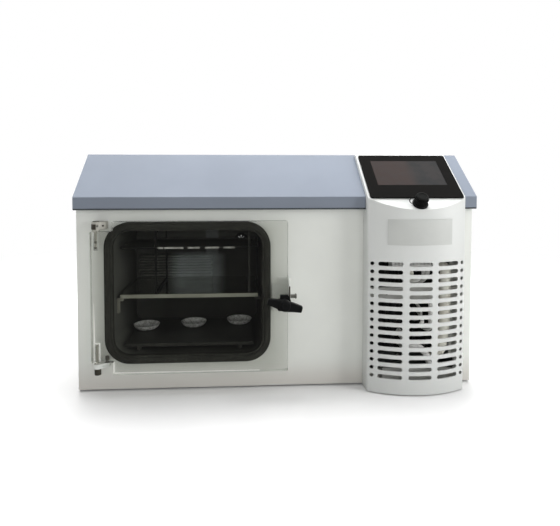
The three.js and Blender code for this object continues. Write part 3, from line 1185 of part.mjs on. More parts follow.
/** Rocker: a shallow V face that turns on the frame's cross pin, resting with its upper half pressed in. */
function powerRocker() {
  const half = 8 - GAP * 2;
  const face = outline([[-7, -8], [1.5, -8.3, 1], [3.6, 0], [1.5, 8.3, 1], [-7, 8]]);
  const key = prismX(face, -half, half, 2).subtract(rod([-9, -3, 0], [9, -3, 0], 1.5 + GAP, 12));
  return key.translate([0, 3, 0]).rotate([THREE.MathUtils.radToDeg(ROCKER_TILT), 0, 0])
    .translate([SWITCH_X, ROCKER_SEAT - 3, INLET_Z]);
}

/** Drain tap: collar on the rear panel, round body, hose spigot and an upright stem. */
function drainValve() {
  const seat = REAR_PANEL_Y + SHEET + GAP;
  const inside = seat - 12;
  const end = REAR_Y + REAR_REACH;
  const profile = [[3, 0], [TAP_RADIUS, 0], [TAP_RADIUS, seat - inside], [11, seat - inside],
    [11, seat - inside + 12],
    [5, seat - inside + 13], [5, end - inside - 5], [6, end - inside - 5], [4.5, end - inside],
    [3, end - inside], [3, 0]];
  const body = turned(profile, [DRAIN_X, inside, DRAIN_Z], [0, 1, 0]);
  const stemY = seat + TAP_STEM_Y;
  const stem = rod([DRAIN_X, stemY, DRAIN_Z + 9], [DRAIN_X, stemY, DRAIN_Z + 18], 4);
  return body.add(stem);
}

function drainLever() {
  const y = REAR_PANEL_Y + SHEET + GAP + TAP_STEM_Y;
  const low = DRAIN_Z + 12;
  const cap = turned([[4 + GAP, 0], [7, 0], [7, 8], [0, 9], [0, 6 + GAP], [4 + GAP, 6 + GAP], [4 + GAP, 0]], [0, 0, low]);
  const lever = prismZ(roundedRect(19, 0, 34, 9, 4), low + 1.5, low + 5.5, 3);
  const clear = rod([0, 0, low - 1], [0, 0, low + 6 + GAP], 4 + GAP);
  return cap.add(lever.subtract(clear)).translate([DRAIN_X, y, 0]);
}

/** From the chamber's floor down and back to the tap. */
function drainTube() {
  const top = CHAMBER_FLOOR - CHAMBER_WALL - GAP;
  const y1 = REAR_PANEL_Y + SHEET + GAP - 12 - GAP;
  const y0 = drainY();
  const down = rod([DRAIN_X, y0, DRAIN_Z], [DRAIN_X, y0, top], DRAIN_TUBE);
  const back = rod([DRAIN_X, y0, DRAIN_Z], [DRAIN_X, y1, DRAIN_Z], DRAIN_TUBE);
  return joined([down, back, solid(new THREE.SphereGeometry(DRAIN_TUBE, 12, 8).translate(DRAIN_X, y0, DRAIN_Z))]);
}

// ---------------------------------------------------------------- assembly
add("base_pan", basePan(), GALVANISED);
const footY = [PANEL_Y + FOOT_INSET, REAR_Y - FOOT_INSET];
const footX = HALF - FOOT_INSET;
[[-footX, footY[0]], [footX, footY[0]], [-footX, footY[1]], [footX, footY[1]]].forEach(([x, y], i) => {
  add(`foot_${i + 1}`, foot(x, y), BLACK_RUBBER);
});
add("front_panel", frontPanel(), WHITE_PAINT);
add("left_side_panel", sidePanel(-1), WHITE_PAINT);
add("right_side_panel", sidePanel(1)
  .subtract(louvres(prismX, REAR_Y - SIDE_LOUVRE_FROM_REAR, SIDE_LOUVRE_Z, HALF - 5, HALF + 1)), WHITE_PAINT);
add("rear_panel", rearPanel(), WHITE_PAINT);
add("top_lid", lid(), BLUE_PAINT);
add("column_cover", columnCover(), COLUMN_WHITE);
add("badge_plate", badge(), PLATE_GREY);
add("touch_bezel", touchBezel(), BLACK_PLASTIC, consoleGroup);
add("touch_glass", touchGlass(), DARK_GLASS, consoleGroup);
add("port_socket", portSocket(), BLACK_PLASTIC, consoleGroup);
add("port_cap", portCap(), BLACK_RUBBER, consoleGroup);
add("cap_tether", capTether(), BLACK_RUBBER, consoleGroup);

add("chamber_shell", chamberShell(), DARK_STEEL);
add("chamber_insulation", chamberInsulation(), FOAM_GREY);
add("door_gasket", gasket(), BLACK_RUBBER);
add("lower_shelf", lowerShelf(), DARK_STEEL);
add("middle_shelf", middleShelf(), STEEL);
add("upper_shelf", upperShelf(), STEEL);
add("rack_frame_left", rackFrame(-1), STEEL);
add("rack_frame_right", rackFrame(1), STEEL);
add("shelf_ledge_left", ledge(-1), STEEL);
add("shelf_ledge_right", ledge(1), STEEL);
for (let i = 0; i < 3; i += 1) add(`sample_dish_${i + 1}`, dish(i), STEEL);
add("cooling_coil", coolingCoil(), STEEL);

add("acrylic_door", acrylicDoor(), ACRYLIC);
add("upper_hinge_bracket", hingeBracket(1), STEEL);
add("lower_hinge_bracket", hingeBracket(-1), STEEL);
add("upper_hinge_pin", hingePin(1), STEEL);
add("lower_hinge_pin", hingePin(-1), STEEL);
add("upper_hinge_washer", hingeWasher(1), NYLON);
add("lower_hinge_washer", hingeWasher(-1), NYLON);
add("latch_bracket", latchBracket(), STEEL);
add("latch_peg", latchPeg(), STEEL);
add("latch_bush", latchBush(), BLACK_PLASTIC);
add("t_knob", tKnob(), BLACK_PLASTIC);
add("latch_stud", latchStud(), STEEL);

add("condenser", condenser(), GALVANISED);
add("fan_shroud", fanShroud(), GALVANISED);
add("fan_rotor", fanRotor(), BLACK_PLASTIC);
add("fan_motor", fanMotor(), BLACK_ENAMEL);
add("compressor", compressor(), BLACK_ENAMEL);
add("filter_drier", filterDrier(), COPPER);
add("discharge_pipe", dischargePipe(), COPPER);
add("suction_pipe", suctionPipe(), COPPER);
add("control_box", controlBox(), GALVANISED);

add("vacuum_pipe", vacuumPipe(), STEEL);
add("vacuum_port", vacuumPort(), STEEL);
add("mains_inlet", mainsInlet(), BLACK_PLASTIC);
add("switch_frame", switchFrame(), BLACK_PLASTIC);
add("power_rocker", powerRocker(), BLACK_PLASTIC);
add("drain_valve", drainValve(), STEEL);
add("drain_lever", drainLever(), BLACK_PLASTIC);
add("drain_tube", drainTube(), NYLON);

// origin at the middle of the base
const bounds = new THREE.Box3().setFromObject(unit, true);
unit.position.y = -(bounds.min.y + bounds.max.y) / 2;

export default unit;
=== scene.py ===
"""Benchtop freeze dryer: smooth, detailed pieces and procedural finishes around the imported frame."""
from math import acos, atan2, cos, pi, radians, sin, sqrt, tan
import bmesh
import bpy
from mathutils import Matrix, Vector


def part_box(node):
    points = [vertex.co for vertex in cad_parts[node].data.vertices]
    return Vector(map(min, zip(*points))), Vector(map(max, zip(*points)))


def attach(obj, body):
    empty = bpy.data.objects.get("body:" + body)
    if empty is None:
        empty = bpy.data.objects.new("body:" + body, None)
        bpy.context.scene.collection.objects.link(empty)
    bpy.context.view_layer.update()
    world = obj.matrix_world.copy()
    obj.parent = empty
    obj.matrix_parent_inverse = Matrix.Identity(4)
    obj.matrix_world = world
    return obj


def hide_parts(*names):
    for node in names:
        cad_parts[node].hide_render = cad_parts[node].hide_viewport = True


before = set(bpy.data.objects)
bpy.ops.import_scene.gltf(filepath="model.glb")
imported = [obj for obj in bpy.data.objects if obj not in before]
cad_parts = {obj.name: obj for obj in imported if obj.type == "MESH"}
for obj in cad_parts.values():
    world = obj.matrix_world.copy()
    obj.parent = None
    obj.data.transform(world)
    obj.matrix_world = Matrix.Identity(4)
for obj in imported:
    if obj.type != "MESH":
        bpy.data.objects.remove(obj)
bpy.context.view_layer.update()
MM = 0.001
X, Y, Z = Vector((1, 0, 0)), Vector((0, 1, 0)), Vector((0, 0, 1))
collection = bpy.context.scene.collection


# ---------- places taken from the frame
def span(node):
    """Lowest and highest corners of a CAD node at rest, in millimetres."""
    low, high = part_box(node)
    return low / MM, high / MM


def centre(node):
    low, high = span(node)
    return (low + high) / 2


GAP = 0.3  # clearance between parts
SLOPE = radians(39)  # of the lid's front face
RIDGE_RUN = 117  # from the lip to the ridge, front to back
LID_LOW, LID_HIGH = span("top_lid")
LIP_Y = LID_LOW.y
LIP_BOTTOM = LID_LOW.z
RIDGE_Y = LIP_Y + RIDGE_RUN
RIDGE_Z = LID_HIGH.z
LIP_TOP = RIDGE_Z - RIDGE_RUN * tan(SLOPE)
PANEL_Y = span("front_panel")[0].y
COVER_LOW, COVER_HIGH = span("column_cover")
COLUMN_X = (COVER_LOW.x + COVER_HIGH.x) / 2
COLUMN_HALF = (COVER_HIGH.x - COVER_LOW.x) / 2
COLUMN_BOW, COLUMN_CORNER, COLUMN_WALL = 30, 8, 3
BOW_RADIUS = (COLUMN_HALF ** 2 + COLUMN_BOW ** 2) / (2 * COLUMN_BOW)
BOW_MIDDLE_Y = COVER_LOW.y + BOW_RADIUS
CONSOLE_RISE = 10  # of the console's surface over the lid's slope
SHELL_LOW, SHELL_HIGH = span("chamber_shell")
CHAMBER_WALL = 3
FLANGE_REACH = 18  # flange edge to the chamber's inner wall
CHAMBER_LEFT, CHAMBER_RIGHT = SHELL_LOW.x + FLANGE_REACH, SHELL_HIGH.x - FLANGE_REACH
CHAMBER_FLOOR, CHAMBER_TOP = SHELL_LOW.z + FLANGE_REACH, SHELL_HIGH.z - FLANGE_REACH
CHAMBER_X = (CHAMBER_LEFT + CHAMBER_RIGHT) / 2
CHAMBER_Z = (CHAMBER_FLOOR + CHAMBER_TOP) / 2
CHAMBER_CORNER = 35
VACUUM, DRAIN = centre("vacuum_pipe"), centre("drain_tube")
DOOR_LOW, DOOR_HIGH = span("acrylic_door")
STUD = centre("latch_stud")
GLASS_X = centre("touch_glass").x
ON_SLOPE = Matrix.Translation((0, LIP_Y, LIP_TOP)) @ Matrix.Rotation(SLOPE, 4, "X")  # across, up and out of it


# ---------- solids, in millimetres
def outwards(bm):
    bmesh.ops.recalc_face_normals(bm, faces=bm.faces)
    return bm


def skin(bm, rings):
    """Faces between each ring of points and the next."""
    count = len(rings[0])
    for a, b in zip(rings, rings[1:]):
        for k in range(count):
            j = (k + 1) % count
            bm.faces.new((a[k], a[j], b[j], b[k]))


def prism(points, low, high, axis):
    """Closed outline carried along an axis: (y, z) along x, (x, z) along y, (x, y) along z."""
    place = {"x": lambda a, b, c: (c, a, b), "y": lambda a, b, c: (a, c, b),
             "z": lambda a, b, c: (a, b, c)}[axis]
    bm = bmesh.new()
    ends = [[bm.verts.new(place(a, b, c)) for a, b in points] for c in (low, high)]
    for end in ends:
        bm.faces.new(end)
    skin(bm, ends)
    return outwards(bm)


def outline(points, steps=6):
    """Outline through (a, b, radius) points with rounded corners."""
    out = []
    count = len(points)
    for i, point in enumerate(points):
        here = Vector(point[:2])
        radius = point[2] if len(point) > 2 else 0
        if radius == 0:
            out.append(tuple(here))
            continue
        back = (Vector(points[i - 1][:2]) - here).normalized()
        on = (Vector(points[(i + 1) % count][:2]) - here).normalized()
        half = acos(max(-1, min(1, back.dot(on)))) / 2
        middle = here + (back + on).normalized() * radius / sin(half)
        start, end = here + back * radius / tan(half), here + on * radius / tan(half)
        a0 = atan2(start.y - middle.y, start.x - middle.x)
        a1 = atan2(end.y - middle.y, end.x - middle.x)
        turn = (a1 - a0 + pi) % (2 * pi) - pi
        for k in range(steps + 1):
            angle = a0 + turn * k / steps
            out.append((middle.x + radius * cos(angle), middle.y + radius * sin(angle)))
    return out


def rounded_rect(a, b, width, height, radius, steps=6):
    w, h = width / 2, height / 2
    corners = [(a - w, b - h), (a + w, b - h), (a + w, b + h), (a - w, b + h)]
    return outline([(*corner, radius) for corner in corners], steps)


def circle(a, b, radius, steps=32):
    return [(a + radius * cos(t), b + radius * sin(t))
            for t in (2 * pi * k / steps for k in range(steps))]


def arc(x, y, r, a0, a1, count):
    """Points along an arc from one angle to another."""
    return [(x + r * cos(a0 + (a1 - a0) * k / count), y + r * sin(a0 + (a1 - a0) * k / count))
            for k in range(count + 1)]


def block(low, high, bevel=0):
    points = [(low[0], low[1]), (high[0], low[1]), (high[0], high[1]), (low[0], high[1])]
    bm = prism(points, low[2], high[2], "z")
    return rounded(bm, bevel) if bevel else bm


def slab(x, half, low, high, bevel=0):
    """Block between two (y, z) corners, centred across on x."""
    return block((x - half, *low), (x + half, *high), bevel)


def rounded(bm, width, segments=2, angle=35, where=None):
    """Rounds every edge sharper than an angle, or those of them whose ends pass a test."""
    edges = [e for e in bm.edges if len(e.link_faces) == 2 and e.calc_face_angle() > radians(angle)
             and (where is None or where(*[v.co for v in e.verts]))]
    bmesh.ops.bevel(bm, geom=edges, offset=width, segments=segments, affect="EDGES", profile=0.5,
                    clamp_overlap=where is None)
    return bm


def lathe(profile, at=(0, 0, 0), along=Z, steps=48):
    """(radius, height) profile turned about the axis that leaves a point."""
    bm = bmesh.new()
    closed = profile[0] == profile[-1]
    points = profile[:-1] if closed else profile
    rings = []
    for r, h in points:
        ring = circle(0, 0, r, steps)[:steps if r > 1e-6 else 1]
        rings.append([bm.verts.new((a, b, h)) for a, b in ring])
    for lower, upper in zip(rings, rings[1:] + (rings[:1] if closed else [])):
        for k in range(steps):
            corners = [lower[k % len(lower)], lower[(k + 1) % len(lower)],
                       upper[(k + 1) % len(upper)], upper[k % len(upper)]]
            face = list(dict.fromkeys(corners))  # at a point on the axis two corners are one
            if len(face) > 2:
                bm.faces.new(face)
    outwards(bm)
    turn = Z.rotation_difference(Vector(along)).to_matrix().to_4x4()
    return moved(bm, Matrix.Translation(at) @ turn)


def ring_profile(inner, outer, low, high, chamfer):
    """Section of a flat ring, with its outer edges chamfered (across, up)."""
    across, up = chamfer
    return [(inner, low), (outer - across, low), (outer, low + up), (outer, high - up), (outer - across, high),
            (inner, high), (inner, low)]


def rod(start, end, radius, steps=32, chamfer=0):
    way = Vector(end) - Vector(start)
    length = way.length
    profile = [(radius - chamfer, 0), (radius, chamfer), (radius, length - chamfer), (radius - chamfer, length)]
    if not chamfer:
        profile = [(radius, 0), (radius, length)]
    return lathe([(0, 0), *profile, (0, length)], start, way.normalized(), steps)


def tube(points, radius, steps=8, sides=12):
    """Round bar along a Catmull-Rom curve, with a frame that doesn't twist."""
    pts = [Vector(p) for p in points]
    pts = [2 * pts[0] - pts[1]] + pts + [2 * pts[-1] - pts[-2]]
    path = []
    for p0, p1, p2, p3 in zip(pts, pts[1:], pts[2:], pts[3:]):
        for t in (k / steps for k in range(steps)):
            path.append(0.5 * (2 * p1 + (p2 - p0) * t + (2 * p0 - 5 * p1 + 4 * p2 - p3) * t * t
                               + (3 * p1 - p0 - 3 * p2 + p3) * t ** 3))
    path.append(pts[-2])
    bm = bmesh.new()
    side = None
    rings = []
    for before, point, after in zip(path[:1] + path, path, path[1:] + path[-1:]):
        way = (after - before).normalized()
        if side is None:
            side = way.cross(Z if abs(way.z) < 0.9 else X)
        side = (side - way * side.dot(way)).normalized()
        up = way.cross(side)
        rings.append([bm.verts.new(point + side * a + up * b) for a, b in circle(0, 0, radius, sides)])
    skin(bm, rings)
    for end in (rings[0], rings[-1]):
        bm.faces.new(end)
    return outwards(bm)


def moved(bm, matrix):
    bm.transform(matrix)
    return bm


def mesh_of(bm, name="part"):
    mesh = bpy.data.meshes.new(name)
    bm.to_mesh(mesh)
    return mesh


def together(*parts):
    """Several solids in one mesh, left as they are."""
    out = bmesh.new()
    for mesh in map(mesh_of, parts):
        out.from_mesh(mesh)
        bpy.data.meshes.remove(mesh)
    return out


def combine(bm, operation, *others):
    """Exact boolean of solids, in millimetres."""
    target, *tools = [bpy.data.objects.new("temporary", mesh_of(part)) for part in (bm, *others)]
    for obj in (target, *tools):
        collection.objects.link(obj)
    for tool in tools:
        step = target.modifiers.new("step", "BOOLEAN")
        step.operation, step.solver, step.object = operation, "EXACT", tool
    evaluated = target.evaluated_get(bpy.context.evaluated_depsgraph_get())
    out = bmesh.new()
    out.from_mesh(bpy.data.meshes.new_from_object(evaluated))
    for obj in (target, *tools):
        bpy.data.objects.remove(obj)
    bmesh.ops.remove_doubles(out, verts=out.verts, dist=1e-4)
    bmesh.ops.dissolve_degenerate(out, edges=out.edges, dist=1e-4)
    return out


def cut(bm, *tools):
    return combine(bm, "DIFFERENCE", *tools)


def join(bm, *others):
    return combine(bm, "UNION", *others)


def halved(bm, point, normal):
    """Keeps what lies behind a plane and closes the cut."""
    geom = bm.verts[:] + bm.edges[:] + bm.faces[:]
    made = bmesh.ops.bisect_plane(bm, geom=geom, dist=1e-4, plane_co=point, plane_no=normal, clear_outer=True)
    edges = [e for e in made["geom_cut"] if isinstance(e, bmesh.types.BMEdge)]
    bmesh.ops.contextual_create(bm, geom=edges)
    return outwards(bm)


def piece(name, bm, look, stands_for=(), body="cabinet", smooth=35):
    """A visible piece in metres, with its finish, its body and the CAD nodes that it stands for."""
    material, slot = look
    mesh = mesh_of(moved(bm, Matrix.Scale(MM, 4)), name)
    bm.free()
    obj = bpy.data.objects.new(name, mesh)
    collection.objects.link(obj)
    mesh.materials.append(material)
    mesh.shade_smooth()
    mesh.set_sharp_from_angle(angle=radians(smooth))
    level = obj.modifiers.new("flat faces", "WEIGHTED_NORMAL")
    level.keep_sharp, level.weight = True, 90
    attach(obj, body)
    if stands_for:
        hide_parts(*stands_for)


def dress(node, look, bevel=0):
    """Gives a CAD node its finish and soft edges."""
    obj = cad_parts[node]
    obj.data.materials.clear()
    obj.data.materials.append(look[0])
    if bevel:
        step = obj.modifiers.new("soft edges", "BEVEL")
        step.width, step.segments = bevel * MM, 2
        step.limit_method, step.angle_limit = "ANGLE", radians(35)
        step.harden_normals = True


# ---------- finishes
EDGE_RADIUS = 0.9  # width of the band along edges that is worn, and on the dishes a painted rim highlight
RUB = 0.06  # change of roughness over a grain
MIX_SOCKETS = {"RGBA": (6, 2), "FLOAT": (2, 0)}  # first input and the output of a Mix node for a kind of value


def srgb(r, g, b):
    """Linear colour for an sRGB one given in 0 to 255."""
    def linear(v):
        v /= 255
        return v / 12.92 if v <= 0.04045 else ((v + 0.055) / 1.055) ** 2.4
    return linear(r), linear(g), linear(b), 1


def scaled(colour, k):
    return tuple(min(1, c * k) for c in colour[:3]) + (1,)


class Nodes:
    """Short names for building a node tree. Sizes and places are in millimetres."""

    def __init__(self, tree):
        self.tree = tree
        self.coords = self.new("TexCoord").outputs
        self.spot = self.split(self.coords["Object"])

    def new(self, kind, **values):
        node = self.tree.nodes.new("ShaderNode" + kind)
        for key, value in values.items():
            setattr(node, key, value)
        return node

    def wire(self, value, socket):
        """Links an output to a socket, or sets the socket; three numbers for a colour are sRGB, 0 to 255."""
        if isinstance(value, bpy.types.NodeSocket):
            self.tree.links.new(value, socket)
        else:
            socket.default_value = srgb(*value) if socket.type == "RGBA" and len(value) == 3 else value

    def fill(self, node, *values):
        """Wires the first inputs of a node in their order."""
        for value, socket in zip(values, node.inputs):
            self.wire(value, socket)
        return node.outputs[0]

    def feed(self, node, **values):
        """Wires inputs of a node by their names."""
        for key, value in values.items():
            self.wire(value, node.inputs[key.replace("_", " ")])
        return node.outputs[0]

    def split(self, vector):
        node = self.new("SeparateXYZ")
        self.fill(node, vector)
        return node.outputs

    def math(self, operation, a, b=0):
        return self.fill(self.new("Math", operation=operation), a, b)

    def times(self, first, *others):
        for other in others:
            first = self.math("MULTIPLY", first, other)
        return first

    def mix(self, factor, a, b, kind="RGBA"):
        node = self.new("Mix", data_type=kind)
        first, result = MIX_SOCKETS[kind]
        for index, value in ((0, factor), (first, a), (first + 1, b)):
            self.wire(value, node.inputs[index])
        return node.outputs[result]

    def blend(self, factor, a, b):
        """Mixes two shaders."""
        return self.fill(self.new("MixShader"), factor, a, b)

    def range(self, value, a0, a1, b0=0, b1=1, smooth=False):
        """Maps a0 to a1 onto b0 to b1."""
        node = self.new("MapRange", interpolation_type="SMOOTHSTEP" if smooth else "LINEAR")
        return self.fill(node, value, a0, a1, b0, b1)

    def along(self, axis, *limits, smooth=False):
        """Maps places along an axis onto a range."""
        return self.range(self.spot[axis], limits[0] * MM, limits[1] * MM, *limits[2:], smooth=smooth)

    def window(self, axis, low, high, soft, smooth=True):
        """1 between two places along an axis, with soft ends."""
        return self.times(self.along(axis, low - soft, low + soft, smooth=smooth),
                          self.along(axis, high - soft, high + soft, 1, 0, smooth=smooth))

    def noise(self, size, detail=3, rough=0.5, stretch=None):
        """Noise of a size, finer along the axes that stretch gives a larger factor."""
        place = self.coords["Object"]
        if stretch:
            place = self.feed(self.new("Mapping"), Vector=place, Scale=stretch)
        return self.feed(self.new("TexNoise"), Vector=place, Scale=1 / (size * MM), Detail=detail, Roughness=rough)

    def cloud(self, size, a0=0.3, a1=0.7, b0=0, b1=1, detail=3, smooth=False):
        """Noise of a size, mapped onto a range."""
        return self.range(self.noise(size, detail), a0, a1, b0, b1, smooth)

    def facing(self, axis):
        """0 to 1 as a surface, at rest, faces along an axis or back along it."""
        return self.range(self.math("ABSOLUTE", self.split(self.coords["Normal"])[axis]), 0.5, 0.75)

    def edges(self):
        """1 along edges, 0 on open faces."""
        bevel = self.feed(self.new("Bevel", samples=4), Radius=EDGE_RADIUS * MM)
        dot = self.new("VectorMath", operation="DOT_PRODUCT")
        self.fill(dot, bevel, self.new("NewGeometry").outputs["Normal"])
        return self.range(dot.outputs["Value"], 0.995, 0.9)

    def bump(self, height, distance):
        return self.feed(self.new("Bump"), Strength=1, Distance=distance * MM, Height=height)


class Look(Nodes):
    """A material as it is built, from its Principled shader."""

    def __init__(self, name):
        self.material = bpy.data.materials.new(name)
        self.material.use_nodes = True
        super().__init__(self.material.node_tree)
        self.shader = self.tree.nodes["Principled BSDF"]

    def done(self, slot, **inputs):
        """Wires the shader and gives the material with its slot."""
        self.feed(self.shader, **inputs)
        return self.material, slot

    def show(self, surface):
        self.wire(surface, self.tree.nodes["Material Output"].inputs["Surface"])
        return self.material


def finish(name, colour, roughness, drift, grain, wear_and_glint=None, slot=None, metal=0, sheen=0.5, stretch=None,
           foot=None, **inputs):
    """Colour that drifts, a grain in bump and roughness, edges rubbed lighter or darker, which on the dishes is a
    painted rim highlight, and painted shade at the foot.

    Drift is (share, size), grain (size, relief), edge tone (colour, amount) and foot shade (colour, height).
    """
    n = Look(name)
    share, size = drift
    tone = n.mix(n.cloud(size, smooth=True), scaled(srgb(*colour), 1 - share), scaled(srgb(*colour), 1 + share))
    # edge tone: wear on most finishes, a painted rim highlight on the dishes
    if wear_and_glint:
        edge_marks = n.times(n.edges(), n.cloud(9, 0.4, 0.65, 0.2, detail=4), wear_and_glint[1])
        tone = n.mix(edge_marks, tone, wear_and_glint[0])
    if foot:
        # painted shade: the colour darkens towards the bottom
        tone = n.mix(n.along("Z", 0, foot[1], 1, 0, smooth=True), tone, foot[0])
    fine = n.noise(grain[0], 3, 0.6, stretch)
    return n.done(slot or name, Base_Color=tone, Metallic=metal, Specular_IOR_Level=sheen,
                  Roughness=n.range(fine, 0.25, 0.75, roughness - RUB, roughness + RUB),
                  Normal=n.bump(fine, grain[1]), **inputs)


# white paint, with painted shade darkening it towards the bottom
WHITE = finish("white_paint", (229, 231, 226), 0.42, (0.025, 140), (2.2, 0.02), ((240, 241, 238), 0.5),
               foot=((212, 209, 203), 70))
COLUMN = finish("column_white", (215, 217, 215), 0.38, (0.015, 140), (1.6, 0.01), ((228, 229, 227), 0.5))
BLUE = finish("blue_paint", (128, 136, 149), 0.4, (0.035, 140), (2.4, 0.025), ((146, 154, 166), 0.5))
# dark strip under the lid's lip: painted shadow of the gap beneath the lip
LIP_SHADOW = finish("lip_painted_shadow", (70, 74, 78), 0.7, (0.1, 50), (0.9, 0.03), ((90, 94, 98), 0.4), "black_rubber",
              sheen=0.15)
BLACK = finish("black_plastic", (20, 21, 21), 0.42, (0.12, 30), (0.7, 0.02), ((52, 53, 54), 0.5), sheen=0.22)
BEZEL = finish("bezel_plastic", (15, 14, 13), 0.5, (0.06, 40), (0.5, 0.008), ((58, 56, 53), 0.5),
               "black_plastic", sheen=0.06)
RUBBER = finish("black_rubber", (53, 53, 49), 0.7, (0.14, 60), (0.9, 0.03), ((82, 82, 76), 0.6), sheen=0.12)
CAP = finish("cap_rubber", (17, 18, 17), 0.6, (0.12, 20), (0.7, 0.03), ((30, 31, 30), 0.5), "black_rubber",
             sheen=0.15)
STEEL = finish("steel", (186, 188, 186), 0.26, (0.05, 60), (0.6, 0.004), ((225, 226, 225), 0.4), metal=1,
               stretch=(1, 1, 14))
DARK = finish("dark_steel", (64, 64, 60), 0.42, (0.14, 90), (0.8, 0.003), ((70, 70, 65), 0.3), metal=0.2,
              sheen=0.15, stretch=(14, 1, 1))
RACK = finish("black_rack", (24, 24, 22), 0.45, (0.14, 60), (0.8, 0.004), ((50, 50, 47), 0.3), "steel",
              sheen=0.12)
LEDGE = finish("bare_ledge", (132, 131, 122), 0.42, (0.1, 30), (0.8, 0.004), ((170, 170, 162), 0.4), "steel",
               metal=0.1, sheen=0.25)
BRACKET = finish("bracket_plate", (226, 228, 224), 0.42, (0.03, 40), (0.8, 0.006), ((240, 241, 238), 0.5),
                 "steel", metal=0.05, sheen=0.35)
UPPER_ARM = finish("upper_arm", (172, 170, 162), 0.42, (0.1, 8), (0.8, 0.008), ((112, 109, 101), 0.6), "steel",
                   metal=0.15, sheen=0.3)
PIN = finish("pin_steel", (176, 174, 165), 0.36, (0.12, 14), (0.5, 0.008), ((178, 177, 170), 0.5), "steel",
             metal=0.2, sheen=0.35)
PEG = finish("peg_steel", (120, 119, 112), 0.4, (0.1, 8), (0.6, 0.01), ((60, 58, 52), 0.8), "steel", metal=0.5,
             sheen=0.3)
# dark metal for the pin heads and upper screws, and painted shade on the upper arm's nose and the latch ear's edge
DARK_METAL_AND_SHADE = finish("dark_metal_and_painted_shade", (72, 69, 61), 0.45, (0.15, 12), (0.6, 0.01), ((150, 146, 136), 0.6),
                 "dark_steel", metal=0.4, sheen=0.25)
SCREW = finish("panel_screw", (186, 187, 184), 0.3, (0.06, 4), (0.5, 0.006), ((220, 221, 219), 0.6), "steel",
               metal=0.9)
# dish steel: its near-white colour is a painted reflection, and its lighter rim a painted highlight
DISH_PAINTED_SHINE = finish("dish_steel_painted_shine", (252, 252, 248), 0.24, (0.4, 6), (2.5, 0.06), ((255, 255, 252), 1), "steel",
              metal=0.05)
PLATE = finish("plate_grey", (200, 202, 199), 0.5, (0.03, 70), (0.6, 0.004), ((216, 217, 215), 0.5), metal=0.1,
               sheen=0.25, stretch=(1, 1, 16))
FOAM = finish("foam_grey", (75, 76, 73), 0.9, (0.15, 20), (2.5, 0.3))
COPPER = finish("copper", (186, 112, 74), 0.34, (0.16, 30), (0.8, 0.006), ((214, 150, 112), 0.35), metal=1)
GALVANISED = finish("galvanised", (150, 153, 151), 0.46, (0.16, 9), (2, 0.01), ((180, 182, 180), 0.35),
                    metal=0.8)
# condenser fins made dark: painted shade behind the column's vents
SHADED_FINS = finish("fins_painted_shade", (50, 51, 51), 0.55, (0.15, 30), (0.8, 0.01), ((60, 60, 58), 0.5), "galvanised",
             sheen=0.2)
GREY = finish("grey_sheet", (198, 198, 194), 0.5, (0.06, 40), (1, 0.006), ((190, 190, 186), 0.5),
              "galvanised", metal=0.2, sheen=0.3)
ENAMEL = finish("black_enamel", (34, 36, 38), 0.3, (0.1, 60), (2.6, 0.05), ((80, 82, 84), 0.4))
NYLON = finish("nylon", (232, 228, 214), 0.5, (0.04, 30), (1, 0.01), Subsurface_Weight=0.1,
               Subsurface_Scale=0.002)
WASHER = finish("washer_nylon", (176, 175, 167), 0.5, (0.03, 8), (0.6, 0.01), slot="nylon", sheen=0.3)
CREAM = finish("cream_foam", (254, 250, 236), 0.85, (0.08, 30), (1.6, 0.12), slot="nylon", sheen=0.15)
DUCT = finish("white_duct", (250, 250, 247), 0.5, (0.05, 20), (0.8, 0.006), slot="nylon", sheen=0.3)
INK = finish("white_mark", (226, 227, 224), 0.5, (0.04, 3), (0.4, 0.01), ((160, 160, 158), 0.4),
             "black_plastic", sheen=0.3)
# sawn faces that glow a little though they are no lamp: a painted highlight
SAWN_GLOW = finish("sawn_bore_painted_glow", (250, 250, 246), 0.8, (0.01, 6), (0.6, 0.02), slot="acrylic", sheen=0.2,
              Emission_Color=(1, 1, 1, 1), Emission_Strength=0.14)


def acrylic():
    """Thick clear sheet, sawn and frosted at its edges; light passes straight through it to what it covers."""
    n = Look("acrylic")
    smear = n.cloud(60, 0.45, 0.75, 0, 0.03, detail=4)
    scratch = n.range(n.noise(1.5, 2, stretch=(1, 1, 30)), 0.62, 0.75, 0, 0.02)
    n.feed(n.shader, Base_Color=(250, 250, 249), Transmission_Weight=1, IOR=1.49,
           Roughness=n.math("ADD", smear, scratch))
    sawn = n.feed(n.new("BsdfDiffuse"), Color=n.mix(n.cloud(2), (214, 216, 210), (240, 241, 237)))
    foot = n.times(n.facing("Z"), n.along("Z", 60, 70, 1, 0))
    sides = n.math("ADD", n.times(n.facing("X"), 0.55), n.times(foot, 0.8))
    clear = n.feed(n.new("BsdfTransparent"), Color=(233, 234, 231))
    ray = n.new("LightPath").outputs
    through = n.math("MAXIMUM", ray["Is Shadow Ray"], ray["Is Diffuse Ray"])
    return n.show(n.blend(through, n.blend(sides, n.shader.outputs[0], sawn), clear)), "acrylic"


def painted_back_reflection(n):
    """0 to 1 over a painted reflection, paler and cooler, in the middle of the chamber's back, and over all of the
    back.
    """
    deep = n.along("Y", SHELL_HIGH.y - 24, SHELL_HIGH.y - 18)
    reflection_patch = n.times(n.window("X", -256, -142, 26), n.window("Z", 150, 262, 8))
    reflection_band = n.times(n.window("X", -172, -140, 4), n.window("Z", 262, 346, 6), 0.25)
    return n.times(n.math("ADD", reflection_patch, reflection_band), deep, n.cloud(70, b0=0.6)), deep


